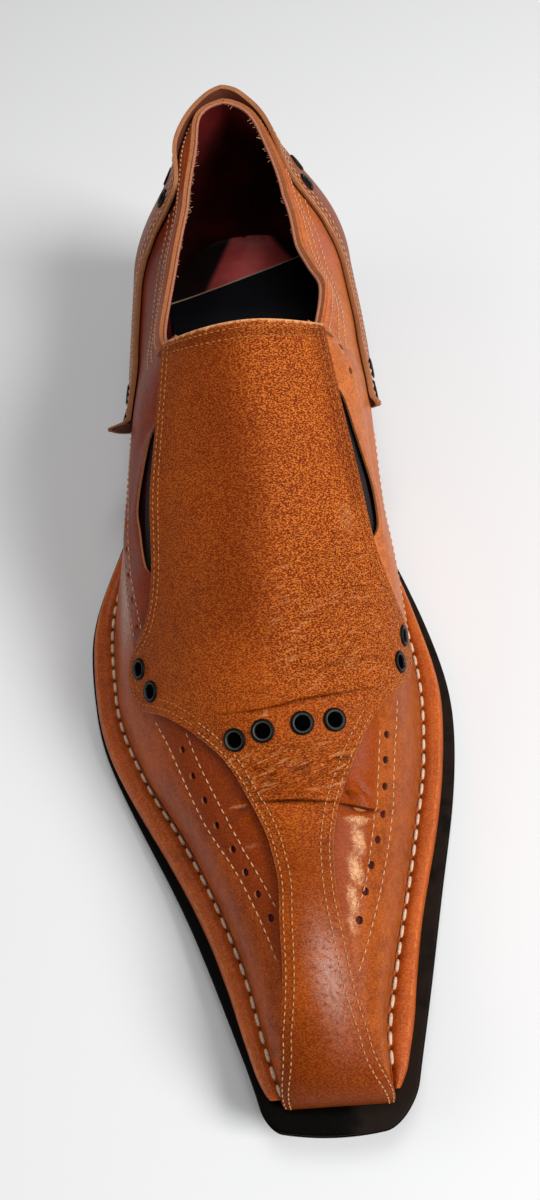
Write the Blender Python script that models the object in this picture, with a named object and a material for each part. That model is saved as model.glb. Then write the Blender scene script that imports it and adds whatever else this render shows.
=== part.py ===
"""Square-toed slip-on dress shoe for the right foot.

The toe points to -Y, the heel to +Y and the outer (lateral) side of the foot to -X.
Sizes are in millimetres and MM turns them into metres where a mesh is made.
Every leather piece is cut from one surface, the skin of the last. A place on that skin is a
station q along the foot, a girth g measured from the ridge line over the foot (negative on the
lateral side) and a lift above or below the skin.
"""
import math

import bmesh
import bpy
import numpy as np
from mathutils import Vector

MM = 0.001
LATERAL = -1
MEDIAL = 1

# Clearance between pieces that touch on the real shoe.
SEAT = 0.3
LAYER_GAP = 0.45
COUNTER_GAP = 0.8

# Sole: plan of both edges and height of the underside along the foot.
SOLE_COLUMNS = ("y", "lateral", "medial", "bottom")
SOLE = np.array([
    (112.0, -30.5, 38.5, 24.0),
    (82.0, -31.5, 36.5, 20.5),
    (51.0, -38.0, 36.0, 11.5),
    (20.0, -51.8, 45.0, 3.0),
    (-5.0, -59.9, 53.5, 0.0),
    (-41.0, -56.2, 59.9, 0.0),
    (-62.0, -47.8, 57.6, 0.0),
    (-101.0, -28.3, 48.0, 2.2),
    (-132.0, -15.7, 40.0, 6.6),
    (-157.0, -6.2, 33.0, 11.3),
])
SOLE_THICKNESS = 5.5
SOLE_BACK = 159.0
SOLE_ROUND_FROM = 112.0
SOLE_TOE = -157.0
SOLE_TOE_BOW = 2.0
TOE_BOW_FROM = -135.0
TOE_CENTRE = 13.4
TOE_HALF_WIDTH = 19.6
TOE_CORNER = {LATERAL: 4.0, MEDIAL: 8.0}
EDGE_SHRINK = 0.992
EDGE_STEP = 0.5
EDGE_STEP_DEPTH = 2.0
BACK_TRIM = 0.15

# Heel block.
HEEL_BREAST = 88.0
HEEL_INSET_TOP = 1.0
HEEL_INSET_FLOOR = 2.5
HEEL_BREAST_CURVE = 5.0
HEEL_BACK_HALF_WIDTH = 0.2

# Last: insets of the feather line from the sole edge, then the points that each cross-section
# passes through on its way from the feather line over belly and shoulder to the ridge.
LAST_COLUMNS = ("y", "inset_lateral", "inset_medial", "belly_lateral", "belly_medial", "belly_z",
                "shoulder_lateral", "shoulder_medial", "shoulder_z_lateral", "shoulder_z_medial",
                "ridge_x", "ridge_z")
LAST = np.array([
    (-158.0, 7.0, 4.6, 0.8, 28.6, 23.0, 4.5, 25.0, 28.0, 28.0, 15.0, 30.0),
    (-140.0, 8.0, 9.8, -4.3, 27.9, 20.5, 0.5, 26.0, 29.0, 29.0, 13.5, 34.0),
    (-120.0, 11.0, 11.0, -9.4, 31.9, 19.0, -4.0, 27.5, 30.5, 31.0, 11.5, 37.5),
    (-100.0, 11.5, 10.6, -17.0, 37.3, 17.0, -11.0, 30.0, 32.0, 33.0, 9.0, 41.0),
    (-80.0, 11.8, 10.3, -26.5, 42.0, 17.0, -19.5, 34.0, 34.0, 36.0, 7.0, 45.5),
    (-60.0, 10.0, 9.8, -37.7, 46.0, 18.0, -26.5, 36.5, 38.0, 41.0, 5.0, 52.0),
    (-30.0, 7.9, 8.6, -46.5, 47.5, 19.0, -31.0, 38.0, 44.5, 50.0, 4.0, 65.0),
    (0.0, 7.2, 8.0, -45.5, 46.0, 26.0, -31.0, 37.0, 60.0, 66.0, 5.0, 81.5),
    (20.0, 7.0, 5.0, -40.5, 44.0, 32.0, -28.0, 35.5, 71.0, 76.0, 6.0, 94.0),
    (42.0, 6.0, 3.5, -36.5, 43.0, 42.0, -24.5, 35.0, 79.0, 83.0, 7.0, 106.5),
    (70.0, 4.0, 3.0, -34.5, 42.5, 48.0, -17.0, 29.0, 82.0, 83.0, 6.0, 108.0),
    (110.0, 4.0, 4.0, -32.8, 40.5, 50.0, -11.5, 23.0, 83.0, 83.0, 5.5, 108.0),
])
HEEL_FROM = 110.0
HEEL_END = 165.0
HEEL_ROUNDNESS = 2.25
COLLAR_ROUNDNESS = 1.95
HEEL_CENTRE = 4.0
COLLAR_CENTRE = 4.5
COLLAR_CHANGE = (50.0, 90.0)
HEEL_BACK_COLUMNS = ("z", "y")
HEEL_BACK = np.array([
    (20.0, 151.5),
    (31.0, 153.0),
    (52.0, 156.0),
    (75.0, 153.0),
    (97.0, 147.0),
    (125.0, 139.0),
])
TOE_FROM = -138.0
TOE_END = -160.0
TOE_FRONT = -152.5
TOE_ROUNDNESS = 3.0
TOE_PINCH = 0.06
TOE_PINCH_POWER = 6

# Upper.
WALL = 2.2
THROAT = 36.5
THROAT_CORNER = 43.3
COLLAR_COLUMNS = ("q", "z")
COLLAR = np.array([
    (43.3, 91.0),
    (55.0, 86.0),
    (70.0, 82.5),
    (90.0, 81.5),
    (110.0, 84.0),
    (130.0, 88.5),
    (150.0, 91.8),
    (165.0, 93.0),
])

# Apron: girth of its two edges from the throat over the wings to the toe.
APRON_THICKNESS = 1.3
APRON_LATERAL_COLUMNS = ("q", "girth")
APRON_LATERAL = np.array([
    (43.3, -27.8),
    (27.0, -30.0),
    (8.0, -33.1),
    (-8.0, -35.0),
    (-18.0, -37.4),
    (-24.0, -41.0),
    (-29.0, -50.0),
    (-33.0, -51.6),
    (-40.0, -50.4),
    (-45.0, -46.6),
    (-51.8, -33.0),
    (-58.6, -23.5),
    (-67.9, -14.5),
    (-79.0, -9.7),
    (-91.0, -6.2),
    (-99.0, -5.6),
    (-111.0, -7.4),
    (-124.0, -9.4),
    (-140.0, -13.6),
    (-151.0, -17.6),
    (-160.0, -20.6),
])
APRON_MEDIAL_COLUMNS = ("q", "girth")
APRON_MEDIAL = np.array([
    (43.3, 26.8),
    (27.5, 29.1),
    (5.0, 33.2),
    (-10.0, 36.6),
    (-18.0, 40.5),
    (-23.0, 45.0),
    (-28.0, 55.5),
    (-32.0, 58.0),
    (-38.0, 56.0),
    (-44.0, 48.5),
    (-50.8, 36.2),
    (-59.2, 27.8),
    (-69.0, 20.8),
    (-83.0, 12.9),
    (-95.0, 9.4),
    (-108.0, 8.3),
    (-124.0, 8.4),
    (-139.0, 10.2),
    (-151.0, 15.2),
    (-160.0, 19.0),
])

# Elastic slots beside the apron.
GORE_COLUMNS = ("q", "width")
GORE = np.array([
    (43.3, 3.0),
    (28.0, 1.8),
    (20.0, 3.6),
    (12.0, 5.2),
    (5.0, 6.2),
    (-2.0, 5.4),
    (-9.0, 2.2),
    (-20.0, 3.0),
    (-160.0, 3.0),
])
GORE_FROM = -9.0
GORE_TO = 28.0
GORE_THICKNESS = 1.2
GORE_SINK = 0.5

# Counter: lower and upper edge by station, the same on both sides.
COUNTER_THICKNESS = 1.5
COUNTER_COLUMNS = ("q", "low", "high")
COUNTER = np.array([
    (41.5, 53.0, 57.5),
    (46.0, 47.0, 61.0),
    (53.0, 38.5, 64.3),
    (60.0, 31.0, 65.3),
    (75.0, 26.0, 65.0),
    (98.0, 29.5, 65.2),
    (107.0, 30.5, 66.5),
    (112.0, 31.0, 70.0),
    (116.0, 31.0, 77.0),
    (120.0, 31.0, 83.0),
    (135.0, 31.0, 87.5),
    (150.0, 31.0, 91.5),
    (158.0, 31.0, 93.8),
    (165.0, 31.0, 94.5),
])
COUNTER_FOOT = 1.2
COUNTER_TIP_ROWS = (41.5, 44.5)
FLARE_BAND = 14.0
FLARE_FROM = 125.0
FLARE = 2.7

# Insole.
INSOLE_THICKNESS = 3.0
INSOLE_CLEARANCE = 0.6
INSOLE_HEEL_ROWS = (115.0, 163.0)

# Welt: a rolled strip between the wall of the upper and the rim of the sole.
WELT_HEIGHT_COLUMNS = ("y", "height")
WELT_HEIGHT = np.array([
    (55.0, 2.2),
    (38.0, 2.8),
    (10.0, 5.2),
    (-140.0, 5.5),
    (-147.0, 5.0),
    (-153.0, 3.6),
])
WELT_REAR = {LATERAL: 55.0, MEDIAL: 38.0}
WELT_FRONT = {LATERAL: -153.0, MEDIAL: -149.0}
WELT_RIM_PROFILE = ((0.10, 0.0), (0.0, 0.30), (0.06, 0.60), (0.28, 0.85), (0.60, 0.98))
WELT_HEAD = 0.95
WELT_LEDGE_COLUMNS = ("y", "lateral", "medial")
WELT_LEDGE = np.array([
    (55.0, 1.6, 0.8),
    (35.0, 1.8, 0.9),
    (0.0, 1.6, 2.4),
    (-15.0, 1.5, 3.0),
    (-34.0, 1.5, 3.2),
    (-52.0, 2.4, 3.8),
    (-69.0, 3.7, 4.0),
    (-85.0, 5.0, 4.2),
    (-110.0, 5.6, 5.0),
    (-124.0, 5.0, 4.5),
    (-137.0, 3.9, 3.7),
    (-146.0, 3.5, 3.8),
    (-150.0, 3.8, 4.6),
    (-153.0, 4.8, 5.2),
])

# Eyelets: station and girth of each, on the apron or on the counter.
EYELET_OUTER = 2.95
EYELET_INNER = 1.55
EYELET_THICKNESS = 0.9
EYELET_BORE_RISE = 0.6
APRON_EYELETS = {
    "eyelet_apron_1": (-63.2, -10.4),
    "eyelet_apron_2": (-62.0, -2.6),
    "eyelet_apron_3": (-60.8, 7.8),
    "eyelet_apron_4": (-60.1, 16.5),
    "eyelet_wing_lateral_rear": (-34.8, -45.0),
    "eyelet_wing_lateral_front": (-42.8, -39.5),
    "eyelet_wing_medial_rear": (-31.8, 48.8),
    "eyelet_wing_medial_front": (-40.8, 43.2),
}
COUNTER_EYELETS = {
    "eyelet_counter_lateral_rear": (LATERAL, 130.0, 74.5),
    "eyelet_counter_lateral_front": (LATERAL, 121.5, 74.0),
    "eyelet_counter_medial_rear": (MEDIAL, 130.0, 74.5),
    "eyelet_counter_medial_front": (MEDIAL, 121.5, 74.0),
    "eyelet_tab_lateral_rear": (LATERAL, 56.0, 57.0),
    "eyelet_tab_lateral_front": (LATERAL, 48.8, 54.8),
    "eyelet_tab_medial_rear": (MEDIAL, 56.0, 57.0),
    "eyelet_tab_medial_front": (MEDIAL, 48.8, 54.8),
}

# Colours and roughness.
TAN_LEATHER = ((0.46, 0.17, 0.045), 0.45)
GRAINED_LEATHER = ((0.50, 0.19, 0.045), 0.5)
COUNTER_LEATHER = ((0.40, 0.14, 0.04), 0.45)
WELT_LEATHER = ((0.48, 0.17, 0.04), 0.4)
DARK_SOLE = ((0.02, 0.014, 0.012), 0.5)
DARK_HEEL = ((0.02, 0.014, 0.012), 0.5)
RED_SOCK = ((0.13, 0.025, 0.025), 0.55)
DARK_ELASTIC = ((0.03, 0.02, 0.018), 0.85)
BLACK_ENAMEL = ((0.012, 0.012, 0.013), 0.35)

# Mesh density.
SHARP_ANGLE = 40.0
SOLE_TOE_ROWS = 5
SOLE_BODY_ROWS = 26
SOLE_HEEL_ROWS = 9
BREAST_ROWS = 6
INSOLE_BODY_ROWS = 26
INSOLE_BACK_ROWS = 9
WELT_ROWS = 30
CURVE_STEPS = 60
SIDE_COLUMNS = 6
TOP_COLUMNS = 10
SOLE_POINTS_ACROSS = 5
COUNTER_COLUMNS_UP = 7
EYELET_STEPS = 12


def smooth(table, columns, column, at):
    """Value of a table's column at a place, on a monotone cubic through its rows."""
    order = np.argsort(table[:, 0])
    x = table[order, 0]
    y = table[order, columns.index(column)]
    step = np.diff(x)
    slope = np.diff(y) / step
    tangent = np.zeros_like(y)
    tangent[0] = slope[0]
    tangent[-1] = slope[-1]
    for i in range(1, len(x) - 1):
        if slope[i - 1] * slope[i] > 0:
            before = 2 * step[i] + step[i - 1]
            after = step[i] + 2 * step[i - 1]
            tangent[i] = (before + after) / (before / slope[i - 1] + after / slope[i])
    at = np.clip(at, x[0], x[-1])
    i = np.clip(np.searchsorted(x, at) - 1, 0, len(step) - 1)
    s = (at - x[i]) / step[i]
    start = (1 + 2 * s) * (1 - s) ** 2 * y[i] + s * (1 - s) ** 2 * step[i] * tangent[i]
    return start + s * s * (3 - 2 * s) * y[i + 1] + s * s * (s - 1) * step[i] * tangent[i + 1]


def side_name(side):
    return "lateral" if side == LATERAL else "medial"


def sole_bottom(y):
    return float(smooth(SOLE, SOLE_COLUMNS, "bottom", y))


def sole_top(y):
    return sole_bottom(y) + SOLE_THICKNESS


def sole_edge(side, y):
    """Plan of the sole: table in the foot, superellipse at the heel, rounded corner at the toe."""
    x = float(smooth(SOLE, SOLE_COLUMNS, side_name(side), y))
    turn = min(max((y - SOLE_ROUND_FROM) / (SOLE_BACK - SOLE_ROUND_FROM), 0.0), 1.0)
    x = HEEL_CENTRE + (x - HEEL_CENTRE) * (1 - turn ** HEEL_ROUNDNESS) ** (1 / HEEL_ROUNDNESS)
    corner = TOE_CORNER[side]
    into_corner = min(max(corner - (y - SOLE_TOE), 0.0), corner)
    return x - side * (corner - math.sqrt(corner ** 2 - into_corner ** 2))


def through_points(points):
    """Smooth line from the feather line over belly and shoulder, level where it meets the ridge."""
    length = np.linalg.norm(np.diff(points, axis=0), axis=1)
    chord = np.diff(points, axis=0) / length[:, None]
    tangent = np.zeros_like(points)
    for i in (1, 2):
        tangent[i] = (length[i] * chord[i - 1] + length[i - 1] * chord[i]) / (length[i - 1] + length[i])
    tangent[0] = 1.5 * chord[0] - 0.5 * tangent[1]
    tangent[3] = (math.copysign(1.0, chord[2][0]), 0.0)
    reach = np.concatenate([[0.0], np.cumsum(length)])
    along = np.linspace(0.0, reach[-1], CURVE_STEPS)
    i = np.clip(np.searchsorted(reach, along, side="right") - 1, 0, 2)
    s = ((along - reach[i]) / length[i])[:, None]
    span = length[i][:, None]
    start = (1 + 2 * s) * (1 - s) ** 2 * points[i] + s * (1 - s) ** 2 * span * tangent[i]
    return start + s * s * (3 - 2 * s) * points[i + 1] + s * s * (s - 1) * span * tangent[i + 1]


def station(q):
    """Table row of the cross-section at q, and how far q is round the heel or down the toe.

    There the stations turn like the hours of a clock, so the same cross-section narrows to the
    back seam or sinks to the toe's front edge.
    """
    if q > HEEL_FROM:
        return HEEL_FROM, math.pi / 2 * (q - HEEL_FROM) / (HEEL_END - HEEL_FROM)
    if q < TOE_FROM:
        angle = math.pi / 2 * (TOE_FROM - q) / (TOE_FROM - TOE_END)
        return TOE_FROM - (TOE_FROM - TOE_FRONT) * math.sin(angle) ** (2 / TOE_ROUNDNESS), angle
    return q, 0.0


SECTIONS = {}


def section(q):
    """Cross-section at q: girth from the ridge, points and outward normals in its own plane."""
    key = round(q, 4)
    if key not in SECTIONS:
        y = station(q)[0]
        row = {name: float(smooth(LAST, LAST_COLUMNS, name, y)) for name in LAST_COLUMNS[1:]}
        ridge = (row["ridge_x"], row["ridge_z"])
        halves = []
        for side in (LATERAL, MEDIAL):
            name = side_name(side)
            feather = sole_edge(side, min(max(y, SOLE_TOE + TOE_CORNER[side]), HEEL_FROM))
            halves.append(through_points(np.array([
                (feather - side * row["inset_" + name], sole_top(y)),
                (row["belly_" + name], row["belly_z"]),
                (row["shoulder_" + name], row["shoulder_z_" + name]),
                ridge,
            ])))
        points = np.concatenate([halves[0], halves[1][::-1][1:]])
        reach = np.concatenate([[0.0], np.cumsum(np.linalg.norm(np.diff(points, axis=0), axis=1))])
        along = np.gradient(points, axis=0)
        along /= np.linalg.norm(along, axis=1)[:, None]
        normals = np.stack([-along[:, 1], along[:, 0]], axis=1)
        SECTIONS[key] = (reach - reach[CURVE_STEPS - 1], points, normals)
    return SECTIONS[key]


def feather_girth(q, side):
    girth = section(q)[0]
    return girth[0] if side == LATERAL else girth[-1]


def girth_at_height(q, side, z):
    """Girth at which one side of the cross-section reaches a height."""
    girth, points, _ = section(q)
    half = slice(0, CURVE_STEPS) if side == LATERAL else slice(None, CURVE_STEPS - 2, -1)
    return float(np.interp(z, points[half, 1], girth[half]))


def skin(q, g, lift=0.0):
    """Point of the last's skin, lifted off it along the cross-section's normal."""
    girth, points, normals = section(q)
    x, z = (np.interp(g, girth, points[:, k]) + lift * np.interp(g, girth, normals[:, k]) for k in (0, 1))
    y, angle = station(q)
    if q > HEEL_FROM:
        low, high = COLLAR_CHANGE
        up = min(max((z - low) / (high - low), 0.0), 1.0)
        centre = HEEL_CENTRE + (COLLAR_CENTRE - HEEL_CENTRE) * up
        power = 2 / (HEEL_ROUNDNESS + (COLLAR_ROUNDNESS - HEEL_ROUNDNESS) * up)
        back = float(smooth(HEEL_BACK, HEEL_BACK_COLUMNS, "y", z)) + lift
        x = centre + (x - centre) * max(math.cos(angle), 0.0) ** power
        y = HEEL_FROM + (back - HEEL_FROM) * math.sin(angle) ** power
    elif q < TOE_FROM:
        centre = (points[0, 0] + points[-1, 0]) / 2
        floor = points[0, 1]
        advance = math.sin(angle) ** (2 / TOE_ROUNDNESS)
        x = centre + (x - centre) * (1 - TOE_PINCH * advance ** TOE_PINCH_POWER)
        z = floor + (z - floor) * max(math.cos(angle), 0.0) ** (2 / TOE_ROUNDNESS)
        y -= lift * advance
    return np.array((x, y, max(z, sole_top(y) + SEAT)))


def material(name, colour, roughness):
    made = bpy.data.materials.new(name)
    made.use_nodes = True
    shader = made.node_tree.nodes["Principled BSDF"]
    shader.inputs["Base Color"].default_value = (*colour, 1.0)
    shader.inputs["Roughness"].default_value = roughness
    made.diffuse_color = (*colour, 1.0)
    return made


def add_object(name, vertices, faces, finish):
    """One closed mesh in metres, faces out, as an object of the scene."""
    mesh = bpy.data.meshes.new(name)
    mesh.from_pydata([Vector(v) * MM for v in vertices], [], faces)
    shape = bmesh.new()
    shape.from_mesh(mesh)
    bmesh.ops.recalc_face_normals(shape, faces=shape.faces)
    shape.to_mesh(mesh)
    shape.free()
    mesh.materials.append(finish)
    mesh.shade_smooth()
    mesh.set_sharp_from_angle(angle=math.radians(SHARP_ANGLE))
    made = bpy.data.objects.new(name, mesh)
    bpy.context.scene.collection.objects.link(made)
    return made


def grid_cells(rows, columns):
    return [((i, j), (i + 1, j), (i + 1, j + 1), (i, j + 1))
            for i in range(rows - 1) for j in range(columns - 1)]


def add_sheet(name, cells, layers, finish):
    """Closed solid between a first and a last layer of points over the same cells.

    Layers between them only shape the rim, which is closed along every edge that one cell has.
    Both layers split a cell along the same diagonal, so stacked sheets stay parallel.
    """
    cells = [tuple(dict.fromkeys(cell)) for cell in cells]
    cells = [cell for cell in cells if len(cell) > 2]
    keys = sorted({key for cell in cells for key in cell})
    edges = {(cell[k - 1], cell[k]) for cell in cells for k in range(len(cell))}
    rim = [(a, b) for a, b in edges if (b, a) not in edges]
    rim_keys = sorted({a for a, _ in rim})
    vertices = []
    index = []
    for number, layer in enumerate(layers):
        whole = number in (0, len(layers) - 1)
        place = {}
        for key in (keys if whole else rim_keys):
            place[key] = len(vertices)
            vertices.append(layer[key])
        index.append(place)
    halves = [(cell[0], cell[k], cell[k + 1]) for cell in cells for k in range(1, len(cell) - 1)]
    faces = [[index[0][key] for key in half] for half in halves]
    faces += [[index[-1][key] for key in reversed(half)] for half in halves]
    for upper, lower in zip(index, index[1:]):
        faces += [(upper[b], upper[a], lower[a], lower[b]) for a, b in sorted(rim)]
    return add_object(name, vertices, faces, finish)


def heel_stations():
    """Rows of the round of the heel, closer together towards the back."""
    turn = [math.sin(math.pi / 2 * k / SOLE_HEEL_ROWS) for k in range(1, SOLE_HEEL_ROWS)]
    return [SOLE_ROUND_FROM + (SOLE_BACK - SOLE_ROUND_FROM) * t for t in turn] + [SOLE_BACK - BACK_TRIM]


def sole_stations():
    corner = max(TOE_CORNER.values())
    turn = [1 - math.cos(math.pi / 2 * k / SOLE_TOE_ROWS) for k in range(SOLE_TOE_ROWS)]
    toe = [SOLE_TOE + corner * t for t in turn]
    body = list(np.linspace(SOLE_TOE + corner, SOLE_ROUND_FROM, SOLE_BODY_ROWS))
    return toe + body + heel_stations()


def add_outsole(finish):
    """Slab with the sole's plan, a step in its edge and a slightly bowed toe."""
    stations = sole_stations()
    top, step_top, step_low, low = {}, {}, {}, {}
    for i, y in enumerate(stations):
        near_toe = min(max((TOE_BOW_FROM - y) / (TOE_BOW_FROM - SOLE_TOE), 0.0), 1.0)
        left, right = sole_edge(LATERAL, y), sole_edge(MEDIAL, y)
        for j in range(SOLE_POINTS_ACROSS):
            t = 2 * j / (SOLE_POINTS_ACROSS - 1) - 1
            x = (left + right) / 2 + t * (right - left) / 2
            bowed = y - SOLE_TOE_BOW * near_toe ** 2 * (1 - ((x - TOE_CENTRE) / TOE_HALF_WIDTH) ** 2)
            inner = ((left + right) / 2 + t * (right - left) / 2 * EDGE_SHRINK, bowed * EDGE_SHRINK)
            top[i, j] = (*inner, sole_top(y))
            step_top[i, j] = (*inner, sole_top(y) - EDGE_STEP_DEPTH)
            step_low[i, j] = (x, bowed, sole_top(y) - EDGE_STEP_DEPTH - EDGE_STEP)
            low[i, j] = (x, bowed, sole_bottom(y))
    cells = grid_cells(len(stations), SOLE_POINTS_ACROSS)
    return add_sheet("outsole", cells, [top, step_top, step_low, low], finish)


def add_heel(finish):
    """Block from the floor to the underside of the sole, with a hollowed breast."""
    stations = list(np.linspace(HEEL_BREAST, SOLE_ROUND_FROM, BREAST_ROWS)) + heel_stations()
    top, low = {}, {}
    for i, y in enumerate(stations):
        left, right = sole_edge(LATERAL, y), sole_edge(MEDIAL, y)
        near_breast = max(1 - i / (BREAST_ROWS - 1), 0.0)
        for j in range(SOLE_POINTS_ACROSS):
            t = 2 * j / (SOLE_POINTS_ACROSS - 1) - 1
            for layer, inset in ((top, HEEL_INSET_TOP), (low, HEEL_INSET_FLOOR)):
                back = (SOLE_BACK - inset - HEEL_BREAST) / (SOLE_BACK - HEEL_BREAST)
                px = (left + right) / 2 + t * max((right - left) / 2 - inset, HEEL_BACK_HALF_WIDTH)
                py = HEEL_BREAST + (y - HEEL_BREAST) * back
                py += HEEL_BREAST_CURVE * near_breast * (1 - t * t)
                layer[i, j] = (px, py, sole_bottom(py) - SEAT if layer is top else 0.0)
    return add_sheet("heel", grid_cells(len(stations), SOLE_POINTS_ACROSS), [top, low], finish)


def add_insole(finish):
    """Board inside the feather line, from the toe box to the heel seat."""
    stations = list(np.linspace(TOE_FROM, HEEL_FROM, INSOLE_BODY_ROWS))
    stations += list(np.linspace(*INSOLE_HEEL_ROWS, INSOLE_BACK_ROWS))
    top, low = {}, {}
    for i, q in enumerate(stations):
        reach = {}
        for side in (LATERAL, MEDIAL):
            y = skin(q, feather_girth(q, side))[1]
            above = girth_at_height(q, side, sole_top(y) + SEAT + INSOLE_THICKNESS)
            walls = [skin(q, g, -WALL - INSOLE_CLEARANCE) for g in (feather_girth(q, side), above)]
            reach[side] = min(walls, key=lambda wall: side * wall[0])
        y = min(reach[LATERAL][1], reach[MEDIAL][1])
        for j in range(3):
            x = reach[LATERAL][0] + (reach[MEDIAL][0] - reach[LATERAL][0]) * j / 2
            low[i, j] = (x, y, sole_top(y) + SEAT)
            top[i, j] = (x, y, sole_top(y) + SEAT + INSOLE_THICKNESS)
    return add_sheet("insole", grid_cells(len(stations), 3), [top, low], finish)


def apron_edge(side, q):
    if side == LATERAL:
        return float(smooth(APRON_LATERAL, APRON_LATERAL_COLUMNS, "girth", q))
    return float(smooth(APRON_MEDIAL, APRON_MEDIAL_COLUMNS, "girth", q))


def collar_edge(side, q):
    return girth_at_height(q, side, float(smooth(COLLAR, COLLAR_COLUMNS, "z", q)))


def gore_line(side, q, edge):
    """Lower border of the elastic slot, just outside the apron's edge or the collar."""
    return edge + side * float(smooth(GORE, GORE_COLUMNS, "width", q))


FRONT_ROWS = ([TOE_END, -157.0, -152.5, -147.5, -142.5, TOE_FROM] + list(np.linspace(-129.0, -68.0, 8))
              + list(np.linspace(-63.5, -20.0, 13)) + [-14.5, GORE_FROM, -2.0, 5.0, 12.0, 20.0, GORE_TO, 36.0]
              + [THROAT_CORNER])
REAR_ROWS = list(np.linspace(50.0, HEEL_FROM, 10)) + list(np.linspace(115.5, HEEL_END, 10))
EDGE_LATERAL = SIDE_COLUMNS
EDGE_MEDIAL = EDGE_LATERAL + TOP_COLUMNS
LAST_COLUMN = EDGE_MEDIAL + SIDE_COLUMNS


def upper_places():
    """Station and girth of every grid point of the upper.

    Columns run from the lateral feather line over the slot line and the apron's two edges to the
    medial feather line. Rows run from the toe to the back seam, and bow at the throat.
    """
    places = {}
    for i, row in enumerate(FRONT_ROWS + REAR_ROWS):
        rear = i >= len(FRONT_ROWS)
        for j in range(LAST_COLUMN + 1):
            if rear and EDGE_LATERAL < j < EDGE_MEDIAL:
                continue
            across = min(max(2 * (j - EDGE_LATERAL) / TOP_COLUMNS - 1, -1.0), 1.0)
            throat = THROAT + (THROAT_CORNER - THROAT) * across ** 2
            q = row if rear else TOE_END + (row - TOE_END) * (throat - TOE_END) / (THROAT_CORNER - TOE_END)
            if EDGE_LATERAL < j < EDGE_MEDIAL:
                left, right = apron_edge(LATERAL, row), apron_edge(MEDIAL, row)
                places[i, j] = (q, left + (right - left) * (across + 1) / 2)
                continue
            side = LATERAL if j <= EDGE_LATERAL else MEDIAL
            steps = EDGE_LATERAL - j if side == LATERAL else j - EDGE_MEDIAL
            edge = collar_edge(side, q) if rear else apron_edge(side, q)
            slot = gore_line(side, q, edge)
            down = max(steps - 1, 0) / (SIDE_COLUMNS - 1)
            places[i, j] = (q, edge if steps == 0 else slot + (feather_girth(q, side) - slot) * down)
    return places


def upper_cells():
    """Cells of the upper without the collar opening and the two elastic slots.

    Each side wall sinks to one corner in the toe's front edge and has few points in the next row,
    and at the back seam the two sides share their points.
    """
    last = len(FRONT_ROWS) + len(REAR_ROWS) - 1
    shared = {}
    for i, kept in ((0, 0), (1, 2)):
        shared.update({(i, j): (i, 0) for j in range(EDGE_LATERAL + 1 - kept)})
        shared.update({(i, j): (i, LAST_COLUMN) for j in range(EDGE_MEDIAL + kept, LAST_COLUMN)})
    shared.update({(last, j): (last, LAST_COLUMN - j) for j in range(EDGE_MEDIAL, LAST_COLUMN + 1)})
    cells = []
    for i in range(last):
        for j in range(LAST_COLUMN):
            rear = i >= len(FRONT_ROWS) - 1
            if rear and EDGE_LATERAL <= j < EDGE_MEDIAL:
                continue
            in_slot = not rear and j in (EDGE_LATERAL - 1, EDGE_MEDIAL)
            if in_slot and GORE_FROM <= FRONT_ROWS[i] < GORE_TO:
                continue
            cell = ((i, j), (i + 1, j), (i + 1, j + 1), (i, j + 1))
            cells.append([shared.get(key, key) for key in cell])
    return cells


def add_upper(finish):
    places = upper_places()
    outer = {key: skin(*place) for key, place in places.items()}
    inner = {key: skin(*place, -WALL) for key, place in places.items()}
    return add_sheet("upper", upper_cells(), [outer, inner], finish)


def add_apron(finish):
    """Cover over the upper's own grid between the two apron edges, from the throat to the toe."""
    places = upper_places()
    cells = []
    for i in range(1, len(FRONT_ROWS) - 1):
        for j in range(EDGE_LATERAL, EDGE_MEDIAL):
            cells.append(((i, j), (i + 1, j), (i + 1, j + 1), (i, j + 1)))
    keys = {key for cell in cells for key in cell}
    outer = {key: skin(*places[key], LAYER_GAP + APRON_THICKNESS) for key in keys}
    inner = {key: skin(*places[key], LAYER_GAP) for key in keys}
    return add_sheet("apron", cells, [outer, inner], finish)


def counter_lift(q, z):
    """Lift of the counter's inner face: it lies on the upper and flares off it at the back."""
    high = float(smooth(COUNTER, COUNTER_COLUMNS, "high", q))
    up = min(max((z - high + FLARE_BAND) / FLARE_BAND, 0.0), 1.0)
    back = min(max((q - FLARE_FROM) / (HEEL_END - FLARE_FROM), 0.0), 1.0)
    return COUNTER_GAP + FLARE * back * up ** 2


def add_counter(finish):
    """Heel cover between its lower and upper edge, from one side tab round the heel to the other."""
    rows = list(COUNTER_TIP_ROWS) + REAR_ROWS
    outer, inner = {}, {}
    last = 2 * len(rows) - 2
    for i in range(last + 1):
        side = LATERAL if i < len(rows) else MEDIAL
        q = rows[i] if side == LATERAL else rows[last - i]
        floor = sole_top(skin(q, feather_girth(q, side))[1]) + COUNTER_FOOT
        low = max(float(smooth(COUNTER, COUNTER_COLUMNS, "low", q)), floor)
        high = float(smooth(COUNTER, COUNTER_COLUMNS, "high", q))
        for j in range(COUNTER_COLUMNS_UP + 1):
            z = low + (high - low) * j / COUNTER_COLUMNS_UP
            g = girth_at_height(q, side, z)
            lift = counter_lift(q, z)
            inner[i, j] = skin(q, g, lift)
            outer[i, j] = skin(q, g, lift + COUNTER_THICKNESS)
    return add_sheet("counter", grid_cells(last + 1, COUNTER_COLUMNS_UP + 1), [outer, inner], finish)


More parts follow.
